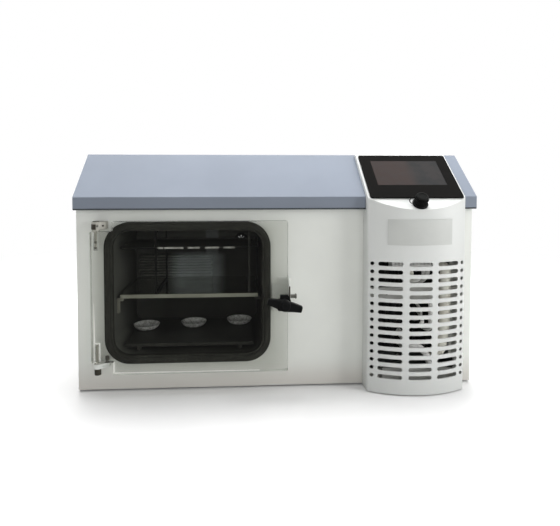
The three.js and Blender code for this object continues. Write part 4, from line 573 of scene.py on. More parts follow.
def liner_finish():
    """Blackened chamber wall with a painted reflection on its back, and painted light making it greyer at the left
    and towards the top.
    """
    n = Look("chamber_dark")
    painted_reflection, deep = painted_back_reflection(n)
    tone = n.mix(n.cloud(120, smooth=True), (52, 52, 48), (62, 62, 58))
    # painted light: greyer towards the chamber's left
    tone = n.mix(n.along("X", -352, -262, 1, 0, smooth=True), tone, (92, 93, 88))
    # painted light: greyer on the back wall towards the top
    tone = n.mix(n.times(n.along("Z", 300, 312, smooth=True), deep), tone, (84, 85, 80))
    tone = n.mix(n.times(n.edges(), 0.5), tone, (80, 80, 76))
    fine = n.noise(1, 3, 0.6, (14, 1, 1))
    return n.done("dark_steel", Base_Color=n.mix(painted_reflection, tone, (208, 216, 220)), Specular_IOR_Level=0.15,
                  Roughness=n.range(fine, 0.25, 0.75, 0.36, 0.5), Normal=n.bump(fine, 0.002))


def coil_finish():
    """Blackened tube that takes on the back wall's painted reflection."""
    n = Look("coil_dark")
    tone = n.mix(n.cloud(40, smooth=True), (104, 104, 99), (122, 122, 116))
    return n.done("steel", Base_Color=n.mix(painted_back_reflection(n)[0], tone, (214, 222, 226)), Specular_IOR_Level=0.2,
                  Roughness=n.cloud(1, 0.25, 0.75, 0.36, 0.5), Normal=n.bump(n.noise(1), 0.004))


def shelf_finish():
    """Polished dark shelf that mirrors the chamber, with bare, satin front and side edges."""
    n = Look("coated_shelf")
    flat = n.facing("Z")
    grain = n.noise(0.8, 3, 0.6, (1, 10, 10))
    bare = n.mix(n.cloud(60), (142, 142, 130), (162, 162, 150))
    mirror = n.mix(n.cloud(40), (196, 197, 192), (214, 215, 210))
    return n.done("steel", Base_Color=n.mix(flat, bare, mirror), Metallic=n.range(flat, 0, 1, 0.1),
                  Roughness=n.math("ADD", n.range(flat, 0, 1, 0.42, 0.1), n.range(grain, 0.25, 0.75, 0, 0.08)),
                  Normal=n.bump(grain, 0.002))


RIM_FACE = -213.9  # just behind the upper shelf's front face
# stretches of the upper shelf's front rim given painted highlights
RIM_LIGHTS = ((-265, -253), (-250, -209), (-199, -173), (-161, -131), (-121, -96))


def upper_shelf_finish():
    """Grey satin shelf whose dark front rim carries painted highlights in places."""
    n = Look("shelf_painted_highlights")
    rim = n.along("Y", RIM_FACE - 0.3, RIM_FACE + 0.3, 1, 0)
    bright = 0
    for low, high in RIM_LIGHTS:
        bright = n.math("ADD", bright, n.window("X", low, high, 1.5, smooth=False))
    tone = n.mix(n.cloud(60, smooth=True), (78, 79, 74), (92, 93, 87))
    tone = n.mix(rim, tone, (26, 26, 24))
    # painted highlights along the front rim
    tone = n.mix(n.times(rim, bright, n.cloud(14, 0.35, 0.65, 0.45)), tone, (196, 196, 191))
    return n.done("steel", Base_Color=tone, Roughness=n.cloud(1, 0.25, 0.75, 0.4, 0.55),
                  Normal=n.bump(n.noise(1), 0.003), Specular_IOR_Level=0.2)


def screen_glass():
    """Unlit display under glass: warm grey at the left, cooler at the right."""
    n = Look("dark_glass")
    middle = GLASS_X + 8
    tone = n.mix(n.along("X", middle - 14, middle + 14, smooth=True), (58, 50, 48), (44, 45, 46))
    return n.done("dark_glass", Base_Color=n.mix(n.cloud(26, 0.35, 0.65, 0, 0.5), tone, (57, 53, 52)),
                  Roughness=n.cloud(30, 0.4, 0.7, 0.1, 0.22, detail=4), Normal=n.bump(n.noise(0.6, 2), 0.002),
                  Specular_IOR_Level=0.12)


ACRYLIC, GLASS, LINER, COIL = acrylic(), screen_glass(), liner_finish(), coil_finish()
HIGHLIT_SHELF, SHELF = upper_shelf_finish(), shelf_finish()


# ---------- cabinet
def column_plan(inset, back):
    """Plan of the column, set in by inset: straight sides, rounded corners and a bowed front."""
    side = COLUMN_HALF - COLUMN_CORNER
    corner_y = BOW_MIDDLE_Y - sqrt((BOW_RADIUS - COLUMN_CORNER) ** 2 - side * side)
    turn = atan2(BOW_MIDDLE_Y - corner_y, side)
    points = [(COLUMN_X + COLUMN_HALF - inset, back), (COLUMN_X - COLUMN_HALF + inset, back)]
    r = COLUMN_CORNER - inset
    points += arc(COLUMN_X - side, corner_y, r, pi, pi + turn, 8)
    points += arc(COLUMN_X, BOW_MIDDLE_Y, BOW_RADIUS - inset, pi + turn, 2 * pi - turn, 72)[1:-1]
    points += arc(COLUMN_X + side, corner_y, r, 2 * pi - turn, 2 * pi, 8)
    return points


CONSOLE_REAR = COVER_HIGH.y
CONSOLE_NORMAL = Vector((0, -sin(SLOPE), cos(SLOPE)))
VENT_ROWS, VENT_PITCH, VENT_LOWEST = 15, 17.17, 39
SCREEN_MIDDLE, PANE_MIDDLE = 57, 67  # up the slope
SCREEN_WIDTH, SCREEN_DEPTH, SCREEN_THICK = 204, 150, 3
HOUSING_X, HOUSING_Y = SCREEN_WIDTH / 2 - 7, SCREEN_DEPTH / 2 - 7  # half the size of the screen's rear housing
PORT_DOWN = 36


def column_body(inset, foot, rear):
    """The column as a closed solid, under its console's surface."""
    bm = prism(column_plan(inset, rear), foot, RIDGE_Z + 40, "z")
    bm = halved(bm, ON_SLOPE @ Vector((0, 0, CONSOLE_RISE - inset)), CONSOLE_NORMAL)
    return halved(bm, Vector((0, 0, RIDGE_Z - inset)), Z)


def vent_cuts():
    """Cutters for the vent rows: three slots and a hole at each end."""
    cutters = []
    for row in range(VENT_ROWS):
        z = VENT_LOWEST + row * VENT_PITCH
        for offset, width in ((0, 50), (-62, 49), (62, 49), (-97.5, 8), (97.5, 8)):
            height = min(width, 9)
            shape = rounded_rect(COLUMN_X + offset, z, width, height, height / 2 - 0.01, 8)
            cutters.append(prism(shape, COVER_LOW.y - 5, PANEL_Y - 2, "y"))
    return together(*cutters)


def screen_cutout():
    half = Vector((HOUSING_X + 1, HOUSING_Y + 1, 0))
    low, high = Vector((COLUMN_X, SCREEN_MIDDLE, -6)), Vector((COLUMN_X, SCREEN_MIDDLE, 2 * CONSOLE_RISE))
    return moved(block(low - half, high + half), ON_SLOPE)


def column_cover():
    """Bowed shell with its slots, cut to lie over the lid, with an opening for the screen and a hole for the port."""
    outer = column_body(0, COVER_LOW.z, CONSOLE_REAR)
    rounded(outer, 1.2, 3, 34.4, lambda a, b: (a.z + b.z) / 2 > LIP_TOP - 40)
    inner = column_body(COLUMN_WALL, -5, CONSOLE_REAR - COLUMN_WALL)
    behind = PANEL_Y - GAP
    rear = CONSOLE_REAR + 5

    def slope_z(y):
        return LIP_TOP + (y - LIP_Y) * tan(SLOPE) + GAP / cos(SLOPE)
    lid_body = prism([(behind, -10), (rear, -10), (rear, slope_z(rear)), (behind, slope_z(behind))],
                     COLUMN_X - 200, COLUMN_X + 200, "x")
    hole = moved(rod((COLUMN_X, -PORT_DOWN, -5), (COLUMN_X, -PORT_DOWN, 20), 9.5), ON_SLOPE)
    body = cut(outer, inner, lid_body, screen_cutout(), hole)
    return cut(body, vent_cuts())


piece("cover_shell", column_cover(), COLUMN, ["column_cover"], smooth=30)


def lid_shell():
    """Folded lid: lip, slope, top and rear hem, with a welded wing at each side."""
    sheet = 2
    rear = LID_HIGH.y
    hem = RIDGE_Z - 27
    back = PANEL_Y - GAP
    bend = 2.5
    inner_ridge = RIDGE_Y + sheet * tan(SLOPE / 2)
    inner_lip = LIP_TOP + sheet * (tan(SLOPE) - 1 / cos(SLOPE))
    outside = [(LIP_Y, LIP_BOTTOM, bend), (LIP_Y, LIP_TOP, bend), (RIDGE_Y, RIDGE_Z, 5), (rear, RIDGE_Z, bend),
               (rear, hem)]
    profile = outline([(back, LIP_BOTTOM), *outside, (rear - sheet, hem), (rear - sheet, RIDGE_Z - sheet, 0.5),
                       (inner_ridge, RIDGE_Z - sheet, 3), (LIP_Y + sheet, inner_lip, 0.5),
                       (LIP_Y + sheet, LIP_BOTTOM + sheet, 0.5), (back, LIP_BOTTOM + sheet)])
    wing = outline([*outside, (RIDGE_Y, hem)])
    side = LID_HIGH.x
    folded = prism(profile, -side, side, "x")
    left = rounded(prism(wing, -side, -side + sheet, "x"), 0.8, 2, 60)
    right = rounded(prism(wing, side - sheet, side, "x"), 0.8, 2, 60)
    opening = slab(COLUMN_X, COLUMN_HALF + GAP, (LIP_Y - 1, LIP_BOTTOM - 1), (back, RIDGE_Z))
    return cut(join(folded, left, right), opening, screen_cutout())


piece("lid_shell", lid_shell(), BLUE, ["top_lid"], smooth=30)

# painted shadow: a dark line along the bottom of the lid's lip
strip = block((LID_LOW.x + 1, LIP_Y - 0.25, LIP_BOTTOM - 0.01), (LID_HIGH.x - 1, LIP_Y + 2, LIP_BOTTOM + 3.4), 0.3)
break_in_lip = slab(COLUMN_X, COLUMN_HALF + 0.5, (LIP_Y - 5, LIP_BOTTOM - 1), (LIP_Y + 5, LIP_BOTTOM + 9))
piece("lip_shadow_line", cut(strip, break_in_lip), LIP_SHADOW)

for node, bevel in (("front_panel", 0.7), ("left_side_panel", 0.6), ("right_side_panel", 0.6), ("rear_panel", 0.5)):
    dress(node, WHITE, bevel)
dress("base_pan", GALVANISED, 0.4)
for index in range(1, 5):
    low, high = span(f"foot_{index}")
    x, y, _ = (low + high) / 2
    r, h = (high.x - low.x) / 2, high.z
    profile = [(0, 0), (r - 2.5, 0), (r - 2.5, 0.5), (r - 1, 0.5), (r - 0.3, 0.9), (r, 1.6), (r - 0.6, h - 0.6),
               (r - 1.2, h), (0, h)]
    piece(f"rubber_foot_{index}", lathe(profile, (x, y, 0)), RUBBER, [f"foot_{index}"])


# ---------- console
def bezel():
    """Screen's frame with its rear housing and a pocket for the pane."""
    low = CONSOLE_RISE + GAP
    top = low + SCREEN_THICK
    plate = prism(rounded_rect(COLUMN_X, SCREEN_MIDDLE, SCREEN_WIDTH, SCREEN_DEPTH, 5, 10), low, top, "z")
    rounded(plate, 0.9, 3, 60)
    pocket = prism(rounded_rect(COLUMN_X, PANE_MIDDLE, 154.6, 86.6, 1, 4), top - 1.6, top + 2, "z")
    housing = slab(COLUMN_X, HOUSING_X, (SCREEN_MIDDLE - HOUSING_Y, low - 42),
                   (SCREEN_MIDDLE + HOUSING_Y, low + 0.5), 1)
    return moved(join(cut(plate, pocket), housing), ON_SLOPE)


def pane():
    top = CONSOLE_RISE + SCREEN_THICK
    sheet = prism(rounded_rect(COLUMN_X, PANE_MIDDLE, 154, 86, 0.8, 4), top - 1, top + 0.1, "z")
    return moved(rounded(sheet, 0.15, 2, 60), ON_SLOPE)


piece("screen_bezel", bezel(), BEZEL, ["touch_bezel"], smooth=30)
piece("screen_pane", pane(), GLASS, ["touch_glass"], smooth=30)


PORT_BASE = CONSOLE_RISE + GAP  # the port's flange stands here on the console
ON_PORT = ON_SLOPE @ Matrix.Translation((COLUMN_X, -PORT_DOWN, 0))
FLANGE, GROOVE_LOW, GROOVE_HIGH = 3, 11, 14  # thickness of the port's flange, and the groove in the cap


def port_cap():
    """Ribbed cap, hollow over the port's neck, with a groove for its tether."""
    low = PORT_BASE + FLANGE + GAP
    radius, height, ribs, depth, steps = 13.4, 20, 24, 0.45, 4
    plan = []
    for k in range(ribs * steps):
        angle = 2 * pi * k / (ribs * steps)
        r = radius - depth * (1 - cos(angle * ribs)) if k % steps else radius
        plan.append((r * cos(angle), r * sin(angle)))
    body = prism(plan, low, low + height, "z")
    dome = lathe([(0, low), (radius, low), (radius, low + height - 2.5), (radius - 1.2, low + height - 0.9),
                  (radius - 2.8, low + height), (radius - 5, low + height), (radius - 5.6, low + height - 0.8),
                  (0, low + height - 0.8)], steps=96)
    inner, outer = radius - 1.3, radius + 2
    groove = lathe([(inner, low + GROOVE_LOW), (outer, low + GROOVE_LOW), (outer, low + GROOVE_HIGH),
                    (inner, low + GROOVE_HIGH), (inner, low + GROOVE_LOW)], steps=64)
    well = rod((0, 0, low - 1), (0, 0, low + 11.3), 10.2)
    return moved(cut(combine(body, "INTERSECT", dome), groove, well), ON_PORT)


def cap_tether():
    """A ring in the cap's groove, a ring round the flange, and the loop between them."""
    low = PORT_BASE
    groove = low + FLANGE + GAP
    start, end = groove + GROOVE_LOW + GAP, groove + GROOVE_HIGH - GAP
    upper = lathe(ring_profile(12.6, 14.5, start, end, (0.5, 0.6)), steps=64)
    lower = lathe(ring_profile(14.8, 16.4, low, low + FLANGE, (0.4, 0.5)), steps=64)
    loop = tube([(-13.9, 0, (start + end) / 2), (-17.4, 1, end + 1), (-21.5, 2, end + 0.6),
                 (-24, 2, (start + low) / 2 + 3), (-22.4, 1, low + 5.4), (-19, 0, low + 3),
                 (-15.6, 0, low + 1.6)], 0.9)
    return moved(join(upper, lower, loop), ON_PORT)


def port_socket():
    """Flanged neck under the cap."""
    low = PORT_BASE
    top = low + FLANGE
    profile = [(0, low - 16), (9, low - 16), (9.2, low - 15), (9.2, low), (14, low), (14.5, low + 0.5),
               (14.5, top - 0.8), (13.7, top), (9.5, top), (9.5, top + 10.4), (8.9, top + 11), (6.5, top + 11),
               (6, top + 10.5), (6, low - 8), (0, low - 8)]
    return moved(lathe(profile), ON_PORT)


piece("port_dust_cap", port_cap(), CAP, ["port_cap"], "cap", smooth=30)
piece("port_tether", cap_tether(), CAP, ["cap_tether"])
piece("port_fitting", port_socket(), BLACK, ["port_socket"])


def badge():
    """Bare plate, bowed with the column."""
    low, high = span("badge_plate")
    radius, reach = BOW_RADIUS + GAP, 70 / BOW_RADIUS
    start, end = -pi / 2 - reach, -pi / 2 + reach
    plan = [*arc(COLUMN_X, BOW_MIDDLE_Y, radius + 1, start, end, 32),
            *arc(COLUMN_X, BOW_MIDDLE_Y, radius, end, start, 32)]
    return rounded(prism(plan, low.z, high.z, "z"), 0.3, 2, 60)


piece("bare_badge", badge(), PLATE, ["badge_plate"], smooth=30)


# ---------- chamber
def chamber_outline(grow):
    """Front view of the chamber's inner wall, grown outwards."""
    return rounded_rect(CHAMBER_X, CHAMBER_Z, CHAMBER_RIGHT - CHAMBER_LEFT + 2 * grow,
                        CHAMBER_TOP - CHAMBER_FLOOR + 2 * grow, CHAMBER_CORNER + grow, 14)


def shell():
    """Deep-drawn chamber with a folded flange and its two ports."""
    front, rear = SHELL_LOW.y, SHELL_HIGH.y
    outer = prism(chamber_outline(CHAMBER_WALL), front, rear, "y")
    flange = prism(chamber_outline(FLANGE_REACH), PANEL_Y + 2.3, PANEL_Y + 4.3, "y")
    inner = prism(chamber_outline(0), front - 1, rear - CHAMBER_WALL, "y")
    rounded(inner, 2, 4, 60, lambda a, b: min(a.y, b.y) > rear - 10)
    suction = prism(circle(VACUUM.x, VACUUM.z, 10.7, 48), rear - 10, rear + 1, "y")
    drain_y = span("drain_tube")[0].y + 4.5
    drain = prism(circle(DRAIN.x, drain_y, 3.5), CHAMBER_FLOOR - 10, CHAMBER_FLOOR + 1, "z")
    return cut(join(outer, flange), inner, suction, drain)


piece("chamber_liner", shell(), LINER, ["chamber_shell"], smooth=30)
dress("chamber_insulation", FOAM, 0.5)


def strainer():
    """Domed, slotted shield over the vacuum port, inside the chamber."""
    back = SHELL_HIGH.y - CHAMBER_WALL
    dome = lathe([(0, 5.2), (8, 4.8), (13, 3), (15, 0.6), (17, 0.6), (17, 0), (14.2, 0), (12.4, 2.2), (7.8, 3.9),
                  (0, 4.3)], (VACUUM.x, back - 0.1, VACUUM.z), -Y, 64)
    slots = [moved(block((4.5, -0.8, -1), (11, 0.8, 8)), Matrix.Translation((VACUUM.x, back, VACUUM.z))
                   @ Matrix.Rotation(pi / 2, 4, "X") @ Matrix.Rotation(pi * k / 4, 4, "Z"))
             for k in range(8)]
    return cut(dome, together(*slots))


piece("port_strainer", strainer(), RACK, smooth=30)


def gasket():
    """Moulded seal round the chamber: a broad base with a rounded crown and a lip inside it.

    Its section is given outwards from the chamber's wall and towards the back.
    """
    low, high = span("door_gasket")
    front, back = low.y, high.y
    section = [(0, back), (17.4, back), (18, back - 0.8), (18, back - 10.6), (17.2, back - 11.6),
               (14.6, back - 11.9), (14, back - 12.6), (13.2, back - 13.9), (11.2, front), (7.6, front),
               (5.6, front + 0.6), (5, front + 2), (4.2, front + 2.7), (0.9, front + 2.9), (0, front + 3.8)]
    bm = bmesh.new()
    rings = [[bm.verts.new((x, y, z)) for x, z in chamber_outline(grow)] for grow, y in section]
    skin(bm, rings + rings[:1])
    return outwards(bm)


piece("door_seal", gasket(), RUBBER, ["door_gasket"], smooth=30)


# ---------- door
HINGE = centre("upper_hinge_pin")
NOSE = 9  # radius of the arms' noses
PIN_RADIUS = 4.4  # the pins as seen, a little stouter than the CAD's
STUD_BORE, HINGE_BORE, BORE_DEPTH = 4.4, 5, 39
NOTCH_X, NOTCH_HIGH, NOTCH_LOW = DOOR_LOW.x + 44, DOOR_HIGH.z - 21, DOOR_LOW.z + 26


def post(low, high, radius, steps=32, chamfer=0):
    """Round bar on the hinges' axis."""
    return rod((HINGE.x, HINGE.y, low), (HINGE.x, HINGE.y, high), radius, steps, chamfer)


def stud_hole(front, back, radius=STUD_BORE):
    """Cutter on the latch stud's axis."""
    return rod((STUD.x, front, STUD.z), (STUD.x, back, STUD.z), radius)


def door():
    """Thick sheet with its two left corners notched, bored for the pins and the stud."""
    left, right, bottom, top = DOOR_LOW.x, DOOR_HIGH.x, DOOR_LOW.z, DOOR_HIGH.z
    plan = outline([(NOTCH_X, bottom, 2), (right, bottom, 4), (right, top, 4), (NOTCH_X, top, 2),
                    (NOTCH_X, NOTCH_HIGH, 2), (left, NOTCH_HIGH, 2), (left, NOTCH_LOW, 2), (NOTCH_X, NOTCH_LOW, 2)])
    sheet = rounded(prism(plan, DOOR_LOW.y, DOOR_HIGH.y, "y"), 0.8, 2, 60)
    return cut(sheet, post(NOTCH_HIGH - BORE_DEPTH, NOTCH_HIGH + 1, HINGE_BORE),
               post(NOTCH_LOW - 1, NOTCH_LOW + BORE_DEPTH, HINGE_BORE), stud_hole(DOOR_LOW.y - 1, DOOR_HIGH.y + 1))


piece("clear_door", door(), ACRYLIC, ["acrylic_door"], "door", smooth=8)


def hinge_arm(low, high, length, screws):
    """Arm from the front panel to the pin, with a rounded nose and holes for its screws."""
    left, middle = HINGE.x - NOSE, (low.z + high.z) / 2
    plan = [(left + length, high.y), (left, high.y), *arc(HINGE.x, HINGE.y, NOSE, pi, 1.75 * pi, 24),
            (left + length, HINGE.y + 3.6)]
    solid = rounded(prism(plan, low.z, high.z, "z"), 0.8, 3, 40)
    holes = [rod((HINGE.x + x, HINGE.y + 1, middle), (HINGE.x + x, HINGE.y - 9, middle), 2.1, 24) for x in screws]
    return cut(solid, post(low.z - 1, high.z + 1, PIN_RADIUS + 0.3), *holes)


def hinge_screw(x, z):
    """Sunk socket screw in a hinge arm."""
    profile = [(0, 0), (1.9, 0), (1.9, 2.2), (1.6, 2.6), (0.9, 2.6), (0.9, 1.4), (0, 1.4)]
    return lathe(profile, (HINGE.x + x, HINGE.y + 1, z), -Y, 24)


def hinge(place, length, screws, arm_look, screw_look):
    """Arm, screws, pin, its head and its washer, at the upper or the lower end of the door."""
    low, high = span(f"{place}_hinge_bracket")
    head = high.z + 0.3, high.z + 1.6
    if place == "lower":
        low = low + Z * 6
        head = low.z - 13.6, low.z - 0.3
    piece(f"{place}_bracket", hinge_arm(low, high, length, screws), arm_look,
          [f"{place}_hinge_bracket"], smooth=30)
    for index, x in enumerate(screws, 1):
        piece(f"{place}_bracket_screw_{index}", hinge_screw(x, (low.z + high.z) / 2), screw_look)
    disc = ring_profile(0, 6.9, *head, (0.6, 0.6))[:-1]
    piece(f"{place}_pin_head", lathe(disc, (HINGE.x, HINGE.y, 0)), DARK_METAL_AND_SHADE)
    low, high = span(f"{place}_hinge_pin")
    piece(f"{place}_pin", post(low.z, high.z, PIN_RADIUS, 48, 0.6), PIN, [f"{place}_hinge_pin"])
    low, high = span(f"{place}_hinge_washer")
    ring = ring_profile(PIN_RADIUS + 0.3, 8, low.z, high.z, (0.4, 0.4))
    piece(f"{place}_washer", lathe(ring, (HINGE.x, HINGE.y, 0)), WASHER, [f"{place}_hinge_washer"])


hinge("upper", 28, (4.6, 14.4), UPPER_ARM, DARK_METAL_AND_SHADE)
hinge("lower", 32, (12.5, 18.5), BRACKET, BRACKET)

bolt = [(0, 0), (2.6, 0), (2.6, 4), (4.2, 4), (4.4, 4.4), (4.4, 11.4), (4, 12), (2.4, 12), (2.4, 9.5), (0, 9.5)]
piece("lower_bracket_bolt", lathe(bolt, (-367, PANEL_Y - 7.5, span("lower_hinge_bracket")[1].z), Z, 6), PEG)
for index, drop in enumerate((34, 22), 1):
    z = NOTCH_HIGH - drop
    piece(f"pin_bush_{index}", post(z - 2.4, z + 2.4, 4.95, 40, 0.6), PEG, body="door")
# dark sleeve over the upper arm's curved nose: painted shade
low, high = span("upper_hinge_bracket")
nose = cut(post(low.z + 0.2, high.z - 4, 9.5, 48, 0.8),
           block((HINGE.x + 2, HINGE.y - 20, 0), (HINGE.x + 30, HINGE.y + 20, 500)), post(0, 500, 8.6))
piece("upper_arm_nose_shade", nose, DARK_METAL_AND_SHADE)

# pale slips in the sheet that glow as painted highlights where its sawn faces catch the light; the streak is a
# painted glint
end = NOTCH_LOW + BORE_DEPTH + 0.4  # just past the closed end of the lower bore
slips = {
    "sawn_bore_walls_glow": together(*[
        block((HINGE.x + left, HINGE.y - 1, end + low), (HINGE.x + right, HINGE.y + 1, end + high))
        for left, right, low, high in ((-6.6, -5.2, -37, 0), (5.2, 6.6, -37, 0), (-6.6, 6.6, 0, 1.5))]),
    "sawn_lower_edge_glow": prism([(DOOR_LOW.x + 46, DOOR_LOW.z + 0.8), (DOOR_HIGH.x - 60, DOOR_LOW.z + 0.8),
                              (DOOR_HIGH.x - 60, DOOR_LOW.z + 1), (DOOR_LOW.x + 46, DOOR_LOW.z + 2)],
                             DOOR_LOW.y + 10, DOOR_HIGH.y - 4, "y"),
    "sawn_notch_edge_glow": block((DOOR_LOW.x + 44.8, DOOR_LOW.y + 2, DOOR_LOW.z + 3),
                             (DOOR_LOW.x + 46, DOOR_HIGH.y - 2, DOOR_LOW.z + 25)),
    "painted_glint_streak": prism([(HINGE.x - 6.6, DOOR_LOW.z + 64), (HINGE.x - 4.2, DOOR_LOW.z + 64),
                          (HINGE.x - 5.6, DOOR_LOW.z + 150), (HINGE.x - 6.2, DOOR_LOW.z + 150)],
                         HINGE.y - 1, HINGE.y + 1, "y")}
for name, slip in slips.items():
    piece(name, slip, SAWN_GLOW, body="door")


# ---------- latch
BUSH_LOW, BUSH_HIGH = span("latch_bush")
BRACKET_LOW, BRACKET_HIGH = span("latch_bracket")


def latch_bracket():
    """Bracket on the front panel: a foot with the boss for the stud, a thin tab above it, and an ear."""
    back, front = BRACKET_HIGH.y, BRACKET_HIGH.y - 4
    left, right = BRACKET_LOW.x, BRACKET_HIGH.x
    foot = block((left, front, BRACKET_LOW.z), (right, back, STUD.z + 34.5), 0.8)
    ear_low, ear_high = STUD.z + 3, BRACKET_HIGH.z
    tab = block((STUD.x - 10, back - 2, STUD.z), (right - 0.5, back - 0.01, ear_high), 0.4)
    ear = prism(outline([(back, ear_low), (back, ear_high), (DOOR_LOW.y + 2, ear_high, 5),
                         (DOOR_LOW.y + 2, ear_low, 5)]), right - 4, right, "x")
    rounded(ear, 0.6)
    boss = lathe([(0, 0), (10, 0), (10, 10), (9.2, 10.9), (0, 10.9)], (STUD.x, front, STUD.z), -Y)
    peg = centre("latch_peg")
    hole = rod((right - 6, peg.y, peg.z), (right + 1, peg.y, peg.z), 4.3)
    return cut(join(foot, tab, ear, boss), stud_hole(DOOR_HIGH.y, back + 1, 5.2), hole)


def latch_peg():
    """Headed pin through the bracket's ear."""
    low, high = span("latch_peg")
    middle = (low + high) / 2
    length = high.x - low.x
    profile = [(0, 0), (3.6, 0), (4, 0.4), (4, length - 3), (5.2, length - 3), (5.5, length - 2.6),
               (5.5, length - 1.2), (4.6, length), (0, length)]
    return lathe(profile, (low.x, middle.y, middle.z), X)


def bush():
    """Black block on the door's face that steps in to a neck above the knob."""
    half, neck, shoulder = 14, 8.5, STUD.z + 9
    low, high = BUSH_LOW.z, BUSH_HIGH.z
    shape = outline([(STUD.x - half, low, 4), (STUD.x + half, low, 4), (STUD.x + half, shoulder - 2, 2),
                     (STUD.x + neck, high, 2), (STUD.x - neck, high, 2), (STUD.x - neck, shoulder, 1),
                     (STUD.x - half, shoulder, 2)])
    solid = rounded(prism(shape, BUSH_LOW.y, BUSH_HIGH.y, "y"), 0.9, 3, 60)
    return cut(solid, stud_hole(BUSH_LOW.y - 1, BUSH_HIGH.y + 1))


KNOB_BACK = BUSH_LOW.y - GAP
KNOB_TILT = radians(14)


def knob():
    """T-shaped clamping knob: wings that swell towards a round hub."""
    half, tip, middle, root, depth = 37, 6.6, 9.2, 12, 22
    plan = outline([(-half, -tip, 3.4), (-half / 2, -middle, 14), (0, -root - 1, 12), (half / 2, -middle, 14),
                    (half, -tip, 3.4), (half, tip, 3.4), (half / 2, middle, 14), (0, root - 1, 12),
                    (-half / 2, middle, 14), (-half, tip, 3.4)], 8)
    wings = rounded(prism(plan, -depth * 0.9 + 0.01, -depth * 0.35, "y"), 2, 4, 40)
    hub = lathe([(0, 0), (9, 0), (9.6, 0.6), (12, depth * 0.3), (12, depth - 3), (11, depth - 1), (9, depth),
                 (5.5, depth), (5, depth - 0.7), (0, depth - 0.7)], (0, 0, 0), -Y)
    solid = cut(join(wings, hub), rod((0, 1, 0), (0, -depth * 0.6, 0), STUD_BORE))
    return moved(solid, Matrix.Translation((STUD.x, KNOB_BACK, STUD.z)) @ Matrix.Rotation(KNOB_TILT, 4, "Y"))


piece("latch_angle", latch_bracket(), BRACKET, ["latch_bracket"], smooth=30)
# dark strip along the lower front edge of the latch's ear: painted shade
piece("ear_edge_painted_shade", block((BRACKET_HIGH.x - 3.4, DOOR_LOW.y + 1.5, STUD.z + 5),
                        (BRACKET_HIGH.x - 0.4, DOOR_LOW.y + 2.2, STUD.z + 34), 0.2), DARK_METAL_AND_SHADE)
piece("latch_pin", latch_peg(), PEG, ["latch_peg"])
piece("bush_block", bush(), BLACK, ["latch_bush"], "door", smooth=30)
piece("clamp_knob", knob(), BLACK, ["t_knob"], "knob")
low, high = span("latch_stud")
length = high.y - low.y
piece("clamp_stud", lathe([(0, 0), (4, 0), (4, length - 2), (2.5, length), (0, length)],
                          (STUD.x, low.y, STUD.z), Y), STEEL, ["latch_stud"], "knob")

# ---------- what stands in the chamber
low, high = span("middle_shelf")
piece("coated_shelf_plate", block(low, high, 0.6), SHELF, ["middle_shelf"])
LOOKS_INSIDE = {"lower_shelf": DARK, "upper_shelf": HIGHLIT_SHELF, "rack_frame_left": RACK, "rack_frame_right": DARK,
                "shelf_ledge_left": LEDGE, "shelf_ledge_right": DARK, "cooling_coil": COIL}
for node, look in LOOKS_INSIDE.items():
    dress(node, look, 0.4)
for index in range(1, 4):
    low, high = span(f"sample_dish_{index}")
    middle = (low + high) / 2
    r, h = 31, high.z - low.z
    profile = [(0, 0), (r * 0.5, 0), (r * 0.72, h * 0.14), (r * 0.86, h * 0.4), (r * 0.94, h * 0.7),
               (r - 0.4, h - 0.5), (r, h), (r - 0.7, h), (r * 0.94 - 1.2, h * 0.7), (r * 0.84 - 1, h * 0.42),
               (r * 0.7, h * 0.2), (r * 0.48, 1.2), (0, 1.2)]
    piece(f"dish_{index}", lathe(profile, (middle.x, middle.y, low.z), steps=64), DISH_PAINTED_SHINE,
          [f"sample_dish_{index}"])

# ---------- services
SERVICES = ((SHADED_FINS, "condenser"), (GALVANISED, "fan_shroud control_box"), (ENAMEL, "fan_motor compressor"),
            (COPPER, "filter_drier discharge_pipe suction_pipe"), (STEEL, "vacuum_pipe vacuum_port drain_valve"),
            (BLACK, "fan_rotor mains_inlet switch_frame power_rocker drain_lever"), (NYLON, "drain_tube"))
for look, nodes in SERVICES:
    for node in nodes.split():
        dress(node, look)


# ---------- panels' details
def pan_screw(point, out):
    """Pan head screw with a socket, seated on a panel."""
    profile = [(0, -1.2), (2.8, -1.2), (3.4, 0), (3.3, 0.3), (2.4, 0.78), (1.4, 0.86), (1.4, 0.1), (0, 0.1)]
    return lathe(profile, point, out, 24)


REAR_FACE, SIDE_FACE = span("rear_panel")[1].y, span("right_side_panel")[1].x
SCREW_LOW, SCREW_MIDDLE, SCREW_HIGH = 20, 222, 424  # heights of the panels' screws
spots = [(x, z) for z in (SCREW_LOW, SCREW_HIGH) for x in (-412, -206, 0, 206, 412)]
spots += [(x, SCREW_MIDDLE) for x in (-412, 412)]
for index, (x, z) in enumerate(spots, 1):
    piece(f"rear_screw_{index}", pan_screw((x, REAR_FACE, z), Y), SCREW)
for side, tag in ((-1, "left"), (1, "right")):
    for index, y in enumerate((-205, 40, 280), 1):
        piece(f"{tag}_side_screw_{index}", pan_screw((side * SIDE_FACE, y, SCREW_LOW), X * side), SCREW)
low, high = span("mains_inlet")
middle = (low + high) / 2
for index, x in enumerate((low.x + 5, high.x - 5), 1):
    piece(f"inlet_screw_{index}", pan_screw((x, high.y - 0.1, middle.z), Y), SCREW)
for index, (x, z) in enumerate(((-7, -2), (7, -2), (0, 3)), 1):
    z += middle.z
    piece(f"inlet_blade_{index}", slab(middle.x + x, 1.2, (REAR_FACE - 13, z - 2.2), (REAR_FACE - 0.6, z + 2.2), 0.3),
          SCREW)
low, high = span("switch_frame")
middle = (low + high) / 2
piece("mark_on", slab(middle.x, 0.35, (high.y - 0.1, high.z - 3.4), (high.y + 0.12, high.z - 0.9)), INK)
